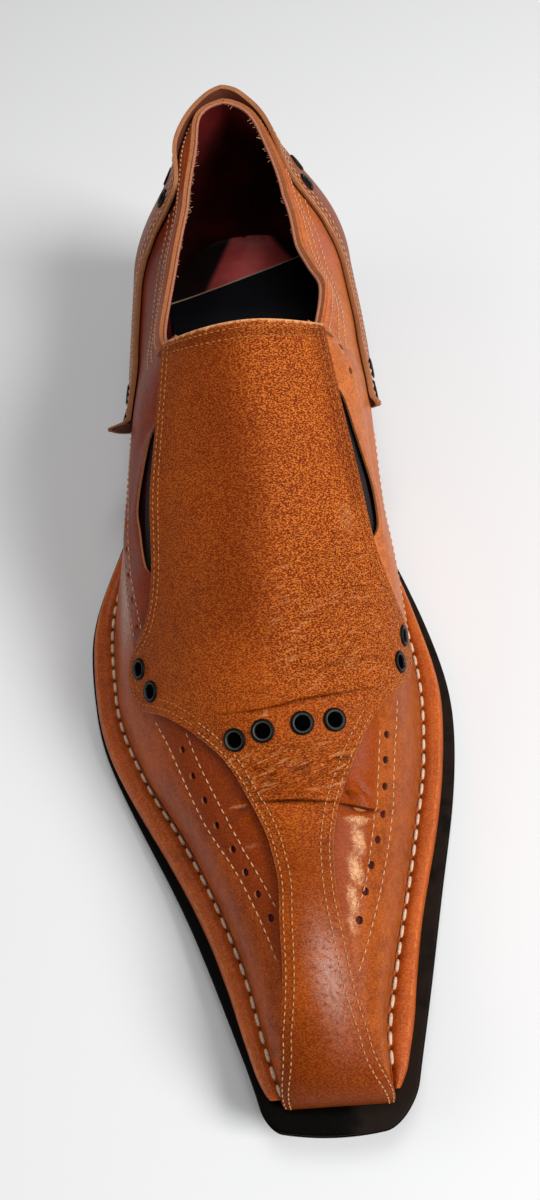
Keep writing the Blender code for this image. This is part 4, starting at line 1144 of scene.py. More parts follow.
def spun_thread(colour):
    """Twisted strands of a thread."""
    def paint(start):
        strand = start.noise(start.place(), 0.5, 3.0)
        return {"Base Color": strand.between(0.3, 0.7).mix(toned(colour, 0.6), colour),
                "Normal": start.relief(strand, 0.1)}

    return paint


def apron_line(side, q):
    """Flat points of the apron's edge on one side."""
    return np.stack([q, apron_girth(side, q)], 1)


def vamp_outline(side):
    """Flat outline of a vamp panel: under the apron and the quarter, then along the feather line."""
    q = np.arange(TOE_END + 1.0, VAMP_REAR, 1.0)
    edge = apron_girth(side, q) - side * UNDERLAP
    rear = curve(QUARTER_LOW[side], "girth", q) - side * UNDERLAP
    top = edge + (rear - edge) * rise(q, *VAMP_TURN)
    foot = feather_girth(q, side)
    return np.concatenate([np.stack([q, top], 1), np.stack([q, foot], 1)[::-1]])


raw_edge = make_finish("raw_edge", cut_edge_paint(RAW_EDGE), {"Roughness": 0.8})
pale_thread = make_finish("pale_thread", spun_thread(PALE_THREAD), {"Roughness": 0.65})
for side in SIDES:
    name = SIDE_NAMES[side]
    main, deep, pale, tinge = VAMP_DYES[side]
    finish = leather("vamp_" + name + "_leather", main, deep, pale, 0.6, 0.06,
                     {"Roughness": 0.34, "Specular IOR Level": 0.08}, tinge)

    def vamp_lift(points, side=side):
        lift, _ = crease(points, VAMP_FOLDS[side])
        for line in BAND_THREADS[side]:
            distance, _, _ = from_line(points, bend(line))
            lift = lift - THREAD_GROOVE * hump(distance, 0.0, THREAD_GROOVE_REACH)
        return VAMP_OUTER + lift

    flat, triangles, _ = cut_pattern(vamp_outline(side), lambda p: skin(*p.T, VAMP_OUTER), BAND_HOLES[side],
                                     folds=VAMP_FOLDS[side])
    sheet = closed_sheet(skin(*flat.T, vamp_lift(flat)), skin(*flat.T, VAMP_INNER), triangles)
    row = np.array(BAND_THREADS[side][TINGE_ROW[side]])
    reach = np.abs(curve({"q": row[:, 0], "g": row[:, 1]}, "g", flat[:, 0]))
    tinged = (1 - rise(np.abs(flat[:, 1]) - reach, *TINGE_FADE)) * (1 - rise(flat[:, 0], *TINGE_END))
    # Painted shade: a dark line beside the apron's edge, besides the shade of the creases.
    beside, _, _ = from_line(flat, apron_line(side, np.arange(*APRON_SHADE_SPAN, 1.0)))
    shade = APRON_SHADE * hump(beside, 0.0, APRON_SHADE_REACH)
    marks = {"dark": np.maximum(crease(flat, VAMP_FOLDS[side])[1], shade), "tinge": tinged,
             "scuff_and_highlight": spot_mark(flat, VAMP_SCUFFS_AND_HIGHLIGHTS[side]), "painted_sheen": spot_mark(flat, (SIDE_PAINTED_SHEEN,))}
    dress_sheet("vamp_" + name, sheet, [finish, raw_edge], marks)
    thread_row([bend(line) for line in BAND_THREADS[side]], vamp_lift, "vamp_thread_" + name, pale_thread)

# Quarter: a thin burgundy-brown panel on each side from the apron back to the heel seam. It laps
# over the vamp with a punched lower edge, and two rows of thread follow the collar.
QUARTER_OUTER = 0.3
QUARTER_INNER = -0.38
QUARTER_FROM = -29.0
QUARTER_STEP = 1.6
QUARTER_HOLES = {
    LATERAL: ((6.8, -52.6), (0.2, -52.8), (-6.6, -52.8), (-13.8, -51.2), (-22.1, -48.6), (13.0, -54.8),
              (20.0, -57.6)),
    MEDIAL: ((42.5, 36.9), (36.4, 40.1), (-14.4, 71.9), (-7.0, 74.0), (0.0, 75.5), (7.0, 77.0), (14.0, 78.4)),
}
# Main, deep and pale colour of streaks, and the tinge of a patch towards the heel. The outer panel's
# colours are darker and the inner one's lighter: painted shade on the side away from the light, and
# painted light on the side towards it.
QUARTER_DYES = {
    LATERAL: (dye(138, 46, 6), dye(90, 28, 10), dye(206, 150, 120), dye(88, 34, 26)),
    MEDIAL: (dye(196, 108, 42), dye(146, 64, 16), dye(226, 170, 124), dye(166, 86, 70)),
}
# Pale streaks along the leather: place, reach along and round the foot, strength.
QUARTER_STREAKS = {
    LATERAL: ((62.0, -40.0, 14.0, 1.6, 0.7), (84.0, -49.0, 14.0, 1.6, 0.6)),
    MEDIAL: ((47.0, 31.0, 9.0, 1.6, 0.8), (42.0, 37.0, 10.0, 1.7, 0.75), (33.0, 43.0, 9.0, 1.7, 0.75),
             (58.0, 38.0, 12.0, 1.6, 0.8), (74.0, 45.0, 12.0, 1.6, 0.75)),
}
QUARTER_PATCHES = {
    LATERAL: ((108.0, -53.0, 16.0, 9.0, 0.8),),
    MEDIAL: ((99.0, 48.0, 14.0, 9.0, 0.85),),
}
# Width of the slot beside the apron; it is negative where the quarter goes under the apron.
SLIT = {
    LATERAL: {"q": (43.3, 31.0, 21.5, 12.9, 5.2, -0.1, -5.8, -11.2, -16.0),
              "width": (-UNDERLAP, -UNDERLAP, 3.4, 6.2, 7.6, 6.2, 5.0, 2.6, -UNDERLAP)},
    MEDIAL: {"q": (43.3, 34.0, 25.8, 17.2, 10.8, 3.8, -3.8, -8.6, -14.0),
             "width": (-UNDERLAP, -UNDERLAP, 2.6, 3.6, 4.6, 5.8, 4.9, 2.2, -UNDERLAP)},
}
SLIT_END = -22.0
SLIT_OPEN = (0.5, 4.0)
SLIT_FLARE = 1.3
SLIT_FLARE_REACH = 5.0
# Rows of thread: distance from the collar or from the lower edge, and where they run.
COLLAR_THREADS = (8.5, 12.0)
COLLAR_THREAD_END = 118.0
LOW_THREADS = (1.6, 7.2)
LOW_THREAD_SPAN = (-24.0, 42.0)


def quarter_outline(side):
    """Flat outline of a quarter: lower edge, back seam, collar, then down beside the apron."""
    q = np.arange(QUARTER_FROM, HEEL_END, 1.0)
    low = np.stack([q, curve(QUARTER_LOW[side], "girth", q)], 1)
    rear = np.arange(HEEL_END, THROAT_CORNER, -1.0)
    collar = np.stack([rear, collar_girth(rear, side)], 1)
    front = np.arange(THROAT_CORNER, SLIT_END, -1.0)
    beside = apron_girth(side, front) + side * curve(SLIT[side], "width", front)
    return np.concatenate([low, collar, np.stack([front, beside], 1)])


def quarter_lift(points, side):
    """Lift of the quarter's face: slack at the collar and flared along the slot."""
    q, g = points.T
    width = curve(SLIT[side], "width", q)
    away = np.maximum(np.abs(g - apron_girth(side, q)) - width, 0.0)
    flare = SLIT_FLARE * rise(width, *SLIT_OPEN) * hump(away, 0.0, SLIT_FLARE_REACH)
    return QUARTER_OUTER + slack(q, g, side) + flare


for side in SIDES:
    name = SIDE_NAMES[side]
    main, deep, pale, tinge = QUARTER_DYES[side]
    finish = leather("quarter_" + name + "_leather", main, deep, pale, 0.6, 0.06,
                     {"Roughness": 0.36, "Specular IOR Level": 0.08}, tinge)
    flat, triangles, _ = cut_pattern(quarter_outline(side), lambda p: skin(*p.T, QUARTER_OUTER),
                                     QUARTER_HOLES[side], QUARTER_STEP)
    lift = quarter_lift(flat, side)
    sheet = closed_sheet(skin(*flat.T, lift), skin(*flat.T, lift + QUARTER_INNER - QUARTER_OUTER), triangles)
    marks = {"painted_sheen": (SIDE_PAINTED_SHEEN,), "scuff_and_highlight": QUARTER_STREAKS[side], "tinge": QUARTER_PATCHES[side]}
    dress_sheet("quarter_" + name, sheet, [finish, raw_edge],
                {mark: spot_mark(flat, spots) for mark, spots in marks.items()})
    along = np.arange(THROAT_CORNER + 2.0, COLLAR_THREAD_END, 1.0)
    rows = [np.stack([along, collar_girth(along, side) + side * down], 1) for down in COLLAR_THREADS]
    along = np.arange(*LOW_THREAD_SPAN, 1.0)
    rows += [np.stack([along, curve(QUARTER_LOW[side], "girth", along) - side * up], 1) for up in LOW_THREADS]
    thread_row(rows, lambda p, side=side: quarter_lift(p, side), "quarter_thread_" + name, pale_thread)

# Elastic: a dark ribbed webbing sewn behind the slit on each side of the apron, so that the
# throat can give when the foot goes in. It sits a little below the leather.
ELASTIC_FROM = -15.0
ELASTIC_TO = 32.0
ELASTIC_WIDTH = 9.0
ELASTIC_UNDERLAP = 3.0
ELASTIC_OUTER = -0.55
ELASTIC_INNER = -1.2
ELASTIC_ROWS = 95
ELASTIC_ACROSS = 15
ELASTIC_RIBS = 320.0
ELASTIC_DARK = dye(16, 11, 10)
ELASTIC_PALE = dye(40, 29, 26)


def webbing(start):
    place = start.place()
    waves = {"Vector": place, "Scale": ELASTIC_RIBS, "Distortion": 1.0}
    rib = start.node("TexWave", {"bands_direction": "Y"}, waves)
    fluff = start.noise(place, 0.4, 3.0)
    return {"Base Color": (rib * 0.5 + fluff * 0.4).between(0.2, 0.9).mix(ELASTIC_DARK, ELASTIC_PALE),
            "Normal": start.relief(rib + fluff * 0.3, 0.2)}


elastic_finish = make_finish("webbing", webbing, {"Roughness": 0.85})
for side in SIDES:
    name = SIDE_NAMES[side]
    q = np.repeat(np.linspace(ELASTIC_FROM, ELASTIC_TO, ELASTIC_ROWS)[:, None], ELASTIC_ACROSS, 1)
    away = np.linspace(-ELASTIC_UNDERLAP, ELASTIC_WIDTH - ELASTIC_UNDERLAP, ELASTIC_ACROSS)
    g = apron_girth(side, q) + side * away
    layers = [skin(q, g, lift).reshape(-1, 3) for lift in (ELASTIC_OUTER, ELASTIC_INNER)]
    sheet = closed_sheet(*layers, net(ELASTIC_ROWS, ELASTIC_ACROSS))
    dress_sheet("elastic_" + name, sheet, [elastic_finish], replaced=["gore_" + name])

# Apron: one piece of pebble-grained leather over the instep, with a wing down each side and a
# narrow strip that runs to the toe and folds over it. Two rows of thread hold every edge.
APRON_GAP = 0.45
APRON_THICKNESS = 1.3
APRON_TOE = -159.0
APRON_STEP = 1.05
APRON_EDGE_STEP = 0.7
APRON_PORE = 0.52
APRON_RELIEF = 0.28
# A cut edge bulges out between its two faces.
EDGE_BULGE = 0.22
APRON_MAIN = dye(166, 72, 9)
APRON_DEEP = dye(120, 43, 1)
APRON_PALE = dye(228, 166, 112)
APRON_TINGE = dye(110, 40, 0)
APRON_BITE = 0.4
STRIP_THREAD = dye(206, 148, 92)
STRIP_PITCH = 1.8
STRIP_STITCH = 1.25
# Line along the instep where the leather folds over the ridge of the foot, and the crest it makes.
INSTEP_RIDGE = {"q": (36.0, 22.0, 5.0, -37.0), "g": (1.0, 1.8, 4.5, 4.2)}
RIDGE_CREST = 1.0
RIDGE_REACH = 7.0
RIDGE_FROM = (-55.0, -35.0)
RIDGE_TO = (24.0, 36.0)
EDGE_WEAR = 0.6
THROAT_WEAR = 1.2
THROAT_SPAN = np.linspace(-1.0, 1.0, 60)
WING_THREAD = dye(184, 116, 60)
EYELET_ROW = -61.0
# Heights of the bar that carries the eyelets, of the slack behind the bend of the toe joint and of the
# leather's own unevenness, and the places of the slack, of the bend and of the strip's middle.
BAR_HEIGHT = 1.5
SLUMP_HEIGHT = 0.5
UNEVEN = 0.18
SLUMP_AT = -73.0
BEND_AT = -72.0
STRIP_MIDDLE = 3.0
# Where the leather changes: the inner half of the instep from the ridge, which gets painted glints,
# then along the foot the rear of the bar, the rear end of the gathers, the outer half, darkened with
# painted shade, the slot, beside which a fold gets painted shade, the smooth toe and its tip.
INNER_HALF = (-9.0, 7.0)
BEHIND_BAR = (-60.0, -48.0)
GATHERS_END = (-22.0, 0.0)
OUTER_HALF = (-50.0, -26.0)
SLOT_FROM = (-10.0, 4.0)
SMOOTH_TOE = (84.0, 100.0)
TIP_TINGE = (128.0, 146.0)
STRIP_FROM = -58.0
STRIP_THREADS = (1.0, 3.2)
WING_THREADS = (1.7, 3.9)
BAR_THREADS = (-66.2, -68.2)
RING_HOLE = 2.35
APRON_RINGS = {
    "apron_1": (-63.2, -10.4), "apron_2": (-62.0, -2.6), "apron_3": (-60.8, 7.8), "apron_4": (-60.1, 16.5),
    "wing_lateral_rear": (-34.8, -45.0), "wing_lateral_front": (-42.8, -39.5),
    "wing_medial_rear": (-31.8, 48.8), "wing_medial_front": (-40.8, 43.2),
}
# Creases: line, depth, width, swelling, overlap. The first is the fold above the eyelets, the second
# the deep bend of the toe joint; the rest are wrinkles on the medial half.
APRON_FOLDS = (
    (((-55.0, -20.0), (-56.0, -12.0), (-56.4, -3.8), (-54.6, 8.4), (-52.0, 24.1), (-49.0, 36.0)),
     0.7, 0.8, 0.7, True),
    (((-79.0, -10.5), (-80.0, -4.0), (-80.4, 3.0), (-81.0, 9.0), (-81.4, 14.5)), 0.9, 1.3, 1.0, True),
    (((-77.2, -9.5), (-78.2, -3.0), (-78.6, 5.0), (-79.2, 13.0)), 0.35, 0.7, 0.35, True),
    (((-76.0, -6.0), (-76.6, 1.0), (-76.8, 8.0), (-77.4, 14.0)), 0.3, 0.6, 0.3, True),
    (((-73.4, -8.0), (-74.6, -2.0), (-74.8, 4.0)), 0.25, 0.6, 0.3, True),
    (((-73.0, 4.0), (-72.6, 9.0), (-71.4, 15.0)), 0.25, 0.6, 0.3, True),
    (((-47.0, 0.0), (-46.0, 15.0), (-43.0, 30.0), (-41.0, 40.0)), 0.4, 1.0, 0.4, False),
    (((-42.0, 6.0), (-40.0, 18.0), (-38.5, 30.0), (-37.0, 38.0)), 0.3, 0.9, 0.3, False),
    (((-35.0, 4.0), (-34.0, 16.0), (-32.0, 27.0)), 0.25, 0.9, 0.25, False),
    (((-29.0, 3.0), (-27.0, 14.0), (-25.0, 26.0), (-22.0, 34.0)), 0.25, 1.0, 0.25, False),
    (((-20.0, 8.0), (-18.0, 18.0), (-16.0, 28.0)), 0.2, 1.0, 0.2, False),
    (((-13.0, 2.0), (-11.0, 12.0), (-8.5, 20.0)), 0.16, 1.0, 0.2, False),
    (((-50.0, -28.0), (-50.5, -18.0), (-51.0, -8.0)), 0.2, 1.1, 0.2, False),
)
# Puckers between the eyelets and the bend of the toe joint: how many, and where they may lie.
PUCKERS = 18
PUCKER_ALONG = (-77.0, -66.0)
PUCKER_ACROSS = (-10.0, 17.0)
PUCKER_SEED = 11
# Pale scuffs, some of them painted highlights on ridges and wrinkles, and a painted grey sheen on the
# toe strip: place, reach along and round the foot, strength.
APRON_SCUFFS_AND_HIGHLIGHTS = ((-57.6, -1.6, 1.1, 1.8, 1.0), (-51.0, 12.0, 1.2, 10.0, 0.6), (-45.0, 24.0, 5.0, 10.0, 0.55),
                (-7.0, 27.0, 9.0, 6.0, 0.62), (-71.5, 4.0, 5.5, 11.0, 0.55))
APRON_PAINTED_SHEEN = ((-124.0, 2.5, 11.0, 3.8, 0.55),)


def throat_line(across):
    """Flat points of the apron's upper edge, from -1 at the outer corner to 1 at the inner one."""
    left, right = (float(apron_girth(side, THROAT_CORNER)) for side in SIDES)
    along = THROAT + (THROAT_CORNER - THROAT) * across ** 2
    return np.stack([along, left + (right - left) * (across + 1) / 2], 1)


def apron_outline():
    q = np.arange(APRON_TOE, THROAT_CORNER, APRON_EDGE_STEP)
    lateral, medial = (apron_line(side, q) for side in SIDES)
    return np.concatenate([lateral, throat_line(np.linspace(-1.0, 1.0, 61)), medial[::-1]])


def pucker_folds():
    """Short random creases across the strip, where the slack leather gathers."""
    rng = np.random.default_rng(PUCKER_SEED)
    folds = []
    for q, g in zip(rng.uniform(*PUCKER_ALONG, PUCKERS), rng.uniform(*PUCKER_ACROSS, PUCKERS)):
        reach = rng.uniform(2.5, 6.0)
        tilt, bow = rng.normal(0.0, 0.9, 2)
        depth = rng.uniform(0.15, 0.42)
        path = ((q - tilt, g - reach), (q + bow, g), (q + tilt, g + reach))
        folds.append((path, depth, rng.uniform(0.6, 1.0), 0.8 * depth, False))
    return tuple(folds)


apron_folds = APRON_FOLDS + pucker_folds()


def apron_form(points):
    """Lift of the apron's face: the raised eyelet bar, the slack before the toe joint, the creases."""
    q, g = points.T
    bar = BAR_HEIGHT * hump(q, EYELET_ROW, 6.0) * hump(g, STRIP_MIDDLE, 19.0, 4)
    slump = SLUMP_HEIGHT * hump(q, SLUMP_AT, 5.0) * hump(g, STRIP_MIDDLE, 13.0, 4)
    uneven = UNEVEN * np.sin(q / 5.1 + 0.6 * np.sin(g / 7.0)) * np.sin(g / 6.3 + 1.3) * rise(q, -70.0, -40.0)
    away = np.abs(g - curve(INSTEP_RIDGE, "g", q))
    crest = RIDGE_CREST * np.exp(-away / RIDGE_REACH) * rise(q, *RIDGE_FROM) * (1 - rise(q, *RIDGE_TO))
    wrinkles, dark = crease(points, apron_folds)
    return APRON_GAP + APRON_THICKNESS + bar + slump + uneven + crest + wrinkles, dark


def apron_face(points):
    return apron_form(points)[0]


def apron_solid(points):
    return skin(*points.T, apron_face(points))


apron_finish = leather("apron_leather", APRON_MAIN, APRON_DEEP, APRON_PALE, APRON_PORE, APRON_RELIEF,
                       {"Roughness": 0.42, "Specular IOR Level": 0.07}, APRON_TINGE, APRON_BITE)
flat, triangles, outward = cut_pattern(apron_outline(), apron_solid, APRON_RINGS.values(), APRON_STEP,
                                       RING_HOLE, apron_folds)
form, dark = apron_form(flat)
low = np.minimum(form - APRON_THICKNESS, APRON_GAP)
edge = skin(*(flat + EDGE_BULGE * outward).T, form - 0.4 * APRON_THICKNESS)
sheet = closed_sheet(skin(*flat.T, form), skin(*flat.T, low), triangles, edge)
q, g = flat.T
ridge = curve(INSTEP_RIDGE, "g", q)
inner_half = rise(g - ridge, *INNER_HALF)
behind_bar = rise(q, *BEHIND_BAR)
gathered = hump(q, BEND_AT, 7.0, 4) + 0.6 * inner_half * behind_bar * (1 - rise(q, *GATHERS_END))
# Painted shade: the outer half faces away from the light, and the band beside the slot lies in a fold.
outer_half_shade = (1 - inner_half) * rise(q, *OUTER_HALF)
outer_half_shade = outer_half_shade * (0.4 + 0.6 * hump(np.maximum(ridge - g, 0.0), 0.0, 18.0, 4))
slot_fold_shade = rise(q, *SLOT_FROM) * hump(apron_girth(MEDIAL, q) - g, 2.0, 4.5, 4)
toe_tinge = 0.9 * rise(-q, *TIP_TINGE) + 0.5 * hump(q, -99.0, 10.0, 4)
from_edge, _, _ = from_line(flat, even_line(apron_outline(), 2.0))
from_throat, _, _ = from_line(flat, throat_line(THROAT_SPAN))
worn_edge = np.maximum(EDGE_WEAR * hump(from_edge, 0.0, 0.55), THROAT_WEAR * hump(from_throat, 0.0, 0.9, 4))
marks = {
    # Painted shade in the creases and in a band under the throat's folded edge.
    "dark": np.maximum(dark, 0.45 * hump(from_throat, 2.8, 1.3, 4)),
    "scuff_and_highlight": np.maximum(spot_mark(flat, APRON_SCUFFS_AND_HIGHLIGHTS), worn_edge),
    "wrinkle": np.clip(gathered, 0.0, 1.0),
    "smooth": rise(-q, *SMOOTH_TOE),
    "painted_sheen": spot_mark(flat, APRON_PAINTED_SHEEN),
    "painted_glint": np.maximum(inner_half * behind_bar, 0.2 * hump(q, BEND_AT, 9.0, 4)),
    "tinge": np.maximum(np.maximum(outer_half_shade, slot_fold_shade), toe_tinge),
}
dress_sheet("apron_cover", sheet, [apron_finish, raw_edge], marks, ["apron"])
strip_rows = []
wing_rows = []
for side in SIDES:
    line = apron_line(side, np.arange(APRON_TOE + 2.0, STRIP_FROM, APRON_EDGE_STEP))
    strip_rows += [inner_line(line, -side * inset) for inset in STRIP_THREADS]
    line = apron_line(side, np.arange(STRIP_FROM, THROAT_CORNER - 1.0, APRON_EDGE_STEP))
    wing_rows += [inner_line(line, -side * inset) for inset in WING_THREADS]
wing_rows += [throat_line(0.93 * THROAT_SPAN) - (inset, 0.0) for inset in WING_THREADS]
wing_rows += [bend(((at - 1.5, -10.5), (at, -3.0), (at + 0.8, 8.0), (at + 1.6, 18.0))) for at in BAR_THREADS]
wing_thread = make_finish("wing_thread", spun_thread(WING_THREAD),
                          {"Roughness": 0.7, "Specular IOR Level": 0.1})
strip_thread = make_finish("strip_thread", spun_thread(STRIP_THREAD), {"Roughness": 0.65})
ring_centres = apron_solid(np.array(list(APRON_RINGS.values())))
thread_row(strip_rows, apron_face, "strip_thread", strip_thread, STRIP_PITCH, STRIP_STITCH)
thread_row(wing_rows, apron_face, "wing_thread", wing_thread, STRIP_PITCH, STRIP_STITCH,
           clear=ring_centres)

# Counter: a smooth cover moulded round the heel over both quarters. It ends in a pointed tab on
# each side, dips below the collar, and its back edge stands off behind the collar.
COUNTER = {
    "q": (41.5, 46.0, 53.0, 60.0, 75.0, 98.0, 107.0, 112.0, 116.0, 120.0, 135.0, 150.0, 158.0, 165.0),
    "low": (56.0, 51.0, 42.0, 33.5, 26.0, 29.5, 30.5, 31.0, 31.0, 31.0, 31.0, 31.0, 31.0, 31.0),
    "high": (57.5, 61.0, 63.4, 63.2, 61.5, 61.5, 64.0, 69.0, 77.0, 83.0, 87.5, 91.5, 93.8, 94.5),
}
COUNTER_THICKNESS = 1.5
COUNTER_GAP = 0.8
COUNTER_FOOT = 1.2
COUNTER_TIP = 41.5
FLARE = 2.7
FLARE_BAND = 14.0
FLARE_FROM = 125.0
# The cover stands off the collar at its outer tip: place, reach, amount, and how far down it does.
STAND_OFF = {LATERAL: (131.0, 11.0, 4.2), MEDIAL: (131.0, 11.0, 0.6)}
STAND_BAND = 26.0
# The front lower edge of each tab has lifted along a slanting line: how far, a place on the line, its
# slant, the lip it makes, and where the lifting ends towards the heel.
TAB_CURL = {LATERAL: 4.4, MEDIAL: 1.2}
TAB_FOLD = (47.5, 56.0)
TAB_SLANT = 0.8
TAB_LIP = 4.0
TAB_REAR = (54.0, 66.0)
COUNTER_STEP = 1.6
COUNTER_ROWS = 160
COUNTER_MAIN = dye(148, 70, 20)
COUNTER_DEEP = dye(106, 42, 10)
COUNTER_PALE = dye(214, 150, 104)
COUNTER_BACK = dye(112, 52, 28)
COUNTER_EDGE = dye(170, 106, 60)
# Painted highlight where the light catches the edge of the inner side: strength, reach, and where it
# begins round the heel.
COUNTER_EDGE_HIGHLIGHT = 1.1
COUNTER_EDGE_HIGHLIGHT_REACH = 1.3
COUNTER_EDGE_HIGHLIGHT_FROM = (-10.0, 10.0)
COUNTER_THREADS = (1.6, 3.6)
COUNTER_RINGS = {
    "counter_lateral_rear": (LATERAL, 130.0, 74.5), "counter_lateral_front": (LATERAL, 121.5, 74.0),
    "counter_medial_rear": (MEDIAL, 130.0, 74.5), "counter_medial_front": (MEDIAL, 121.5, 74.0),
    "tab_lateral_rear": (LATERAL, 56.0, 57.0), "tab_lateral_front": (LATERAL, 48.8, 54.8),
    "tab_medial_rear": (MEDIAL, 56.0, 57.0), "tab_medial_front": (MEDIAL, 48.8, 54.8),
}


def counter_floor(q, side):
    y = skin(q, feather_girth(q, side))[..., 1]
    return np.maximum(curve(COUNTER, "low", q), sole_top(y) + COUNTER_FOOT)


def counter_lift(q, z, side):
    """Lift of the counter's inner face: flared at the back, curled off at the tab's tip."""
    up = np.clip((z - curve(COUNTER, "high", q) + FLARE_BAND) / FLARE_BAND, 0.0, 1.0)
    back = np.clip((q - FLARE_FROM) / (HEEL_END - FLARE_FROM), 0.0, 1.0)
    past = np.clip((TAB_FOLD[0] - q + TAB_SLANT * (TAB_FOLD[1] - z)) / TAB_LIP, 0.0, 1.1)
    past = past * (1 - rise(q, *TAB_REAR))
    at, reach, size = STAND_OFF[side]
    high = np.clip((z - curve(COUNTER, "high", q) + STAND_BAND) / STAND_BAND, 0.0, 1.0)
    stand = size * hump(q, at, reach) * high ** 2
    off_collar = slack(q, girth_at_height(q, side, z), side)
    return COUNTER_GAP + FLARE * back * up ** 2 + TAB_CURL[side] * past ** 2.5 + stand + off_collar


def counter_solid(places, extra):
    """Solid points for flat places: the way round from the back seam and the height.

    The way round is negative on the lateral side.
    """
    made = np.zeros((len(places), 3))
    for side in SIDES:
        pick = places[:, 0] * side >= 0
        q = HEEL_END - np.abs(places[pick, 0])
        z = places[pick, 1]
        made[pick] = skin(q, girth_at_height(q, side, z), counter_lift(q, z, side) + extra)
    return made


way = np.linspace(COUNTER_TIP, HEEL_END, COUNTER_ROWS)
high = np.stack([way - HEEL_END, curve(COUNTER, "high", way)], 1)
low = {side: np.stack([side * (HEEL_END - way), counter_floor(way, side)], 1) for side in SIDES}
pattern = np.concatenate([high, (high * (-1, 1))[-2::-1], low[MEDIAL], low[LATERAL][-2::-1]])
holes = [(side * (HEEL_END - q), z) for side, q, z in COUNTER_RINGS.values()]
counter_finish = leather("counter_leather", COUNTER_MAIN, COUNTER_DEEP, COUNTER_PALE, 0.7, 0.07,
                         {"Roughness": 0.38, "Specular IOR Level": 0.16})
counter_back = make_finish("counter_back", cut_edge_paint(COUNTER_BACK), {"Roughness": 0.75})
flat, triangles, outward = cut_pattern(pattern, lambda p: counter_solid(p, COUNTER_THICKNESS), holes,
                                       COUNTER_STEP, RING_HOLE)
sheet = closed_sheet(counter_solid(flat, COUNTER_THICKNESS), counter_solid(flat, 0.0), triangles,
                     counter_solid(flat + EDGE_BULGE * outward, 0.55 * COUNTER_THICKNESS))
counter_edge = make_finish("counter_edge", cut_edge_paint(COUNTER_EDGE), {"Roughness": 0.75})
from_edge, _, _ = from_line(flat, even_line(np.concatenate([pattern, pattern[:1]]), 2.0))
# Painted highlight along the edge of the inner side, which catches the light.
pale_mark = COUNTER_EDGE_HIGHLIGHT * hump(from_edge, 0.0, COUNTER_EDGE_HIGHLIGHT_REACH, 4) * rise(flat[:, 0], *COUNTER_EDGE_HIGHLIGHT_FROM)
dress_sheet("heel_cover", sheet, [counter_finish, counter_back, counter_edge],
            {"scuff_and_highlight": pale_mark}, ["counter"])
for side in SIDES:
    q = np.arange(COUNTER_TIP + 1.5, HEEL_END - 1.0, 0.7)
    threads = []
    for inset in COUNTER_THREADS:
        line = np.stack([q, curve(COUNTER, "high", q)], 1)
        z = inner_line(line, -inset)
        threads.append(np.stack([z[:, 0], girth_at_height(z[:, 0], side, z[:, 1])], 1))

    def counter_face(points, side=side):
        z = skin(points[:, 0], points[:, 1])[:, 2]
        return counter_lift(points[:, 0], z, side) + COUNTER_THICKNESS

    thread_row(threads, counter_face, "counter_thread_" + SIDE_NAMES[side], pale_thread,
               clear=counter_solid(np.array(holes), COUNTER_THICKNESS))

# Collar strip: an orange-tan binding sewn along the collar on the outside of the quarters, with
# the raw red edge of the lining showing above it and a few loose threads on the inside.
STRIP_WIDTH = {"q": (43.3, 60.0, 100.0, 130.0, 165.0), "width": (4.0, 5.5, 6.0, 5.0, 4.0)}
STRIP_OUTER = 1.25
STRIP_CROWN = 0.35
# Share of the counter's distance from the collar that the strip fills.
STRIP_FILL = 0.7
STRIP_INNER = 0.32
STRIP_ROWS = 150
STRIP_ACROSS = 21
STRIP_MAIN = dye(200, 108, 48)
STRIP_DEEP = dye(158, 70, 22)
STRIP_TINGE = dye(136, 54, 8)
# Dark seam lines along the strip, painted shade in their grooves: share of its width and strength.
STRIP_SEAMS = ((0.16, 0.9), (0.52, 0.55), (0.8, 0.7))
SEAM_REACH = 0.05
STRIP_ROW_AT = 0.66
STRIP_PALE = dye(232, 180, 140)
BEAD_RADIUS = 0.5
BEAD_ABOVE = 0.2
BEAD_LIFT = -0.9
BEAD_RED = dye(192, 118, 88)
FRAY_COUNT = 110
FRAY_AT = {LATERAL: (112.0, 14.0), MEDIAL: (128.0, 18.0)}
FRAY_LIFT = -1.4
FRAY_RADIUS = 0.07
FRAY_POINTS = 9
FRAY_TURNS = 5
FRAY_SEED = 7


def strip_layer(lift, bulge):
    halves = []
    share = np.linspace(0.0, 1.0, STRIP_ACROSS)
    for side in SIDES:
        q = np.repeat(np.linspace(THROAT_CORNER - 0.5, HEEL_END, STRIP_ROWS)[:, None], STRIP_ACROSS, 1)
        g = collar_girth(q[:, 0], side)[:, None] + side * curve(STRIP_WIDTH, "width", q) * share
        crown = bulge * np.sin(math.pi * share) ** 0.5
        at, reach, size = STAND_OFF[side]
        crown = crown + STRIP_FILL * size * hump(q, at, reach) * share
        halves.append(skin(q, g, lift + crown + slack(q, g, side)))
    return np.concatenate([halves[0], halves[1][-2::-1]])


def bead(centres, radius, turns=8):
    """A round bead along a line of points."""
    along = np.gradient(centres, axis=0)
    along /= np.linalg.norm(along, axis=1)[:, None]
    across = np.cross(along, (0.0, 0.0, 1.0))
    across /= np.maximum(np.linalg.norm(across, axis=1), 1e-6)[:, None]
    up = np.cross(across, along)
    angle = np.linspace(0.0, 2 * math.pi, turns, endpoint=False)
    around = np.cos(angle)[:, None] * across[:, None] + np.sin(angle)[:, None] * up[:, None]
    return (centres[:, None] + radius * around).reshape(-1, 3), capped_tube(len(centres), turns)


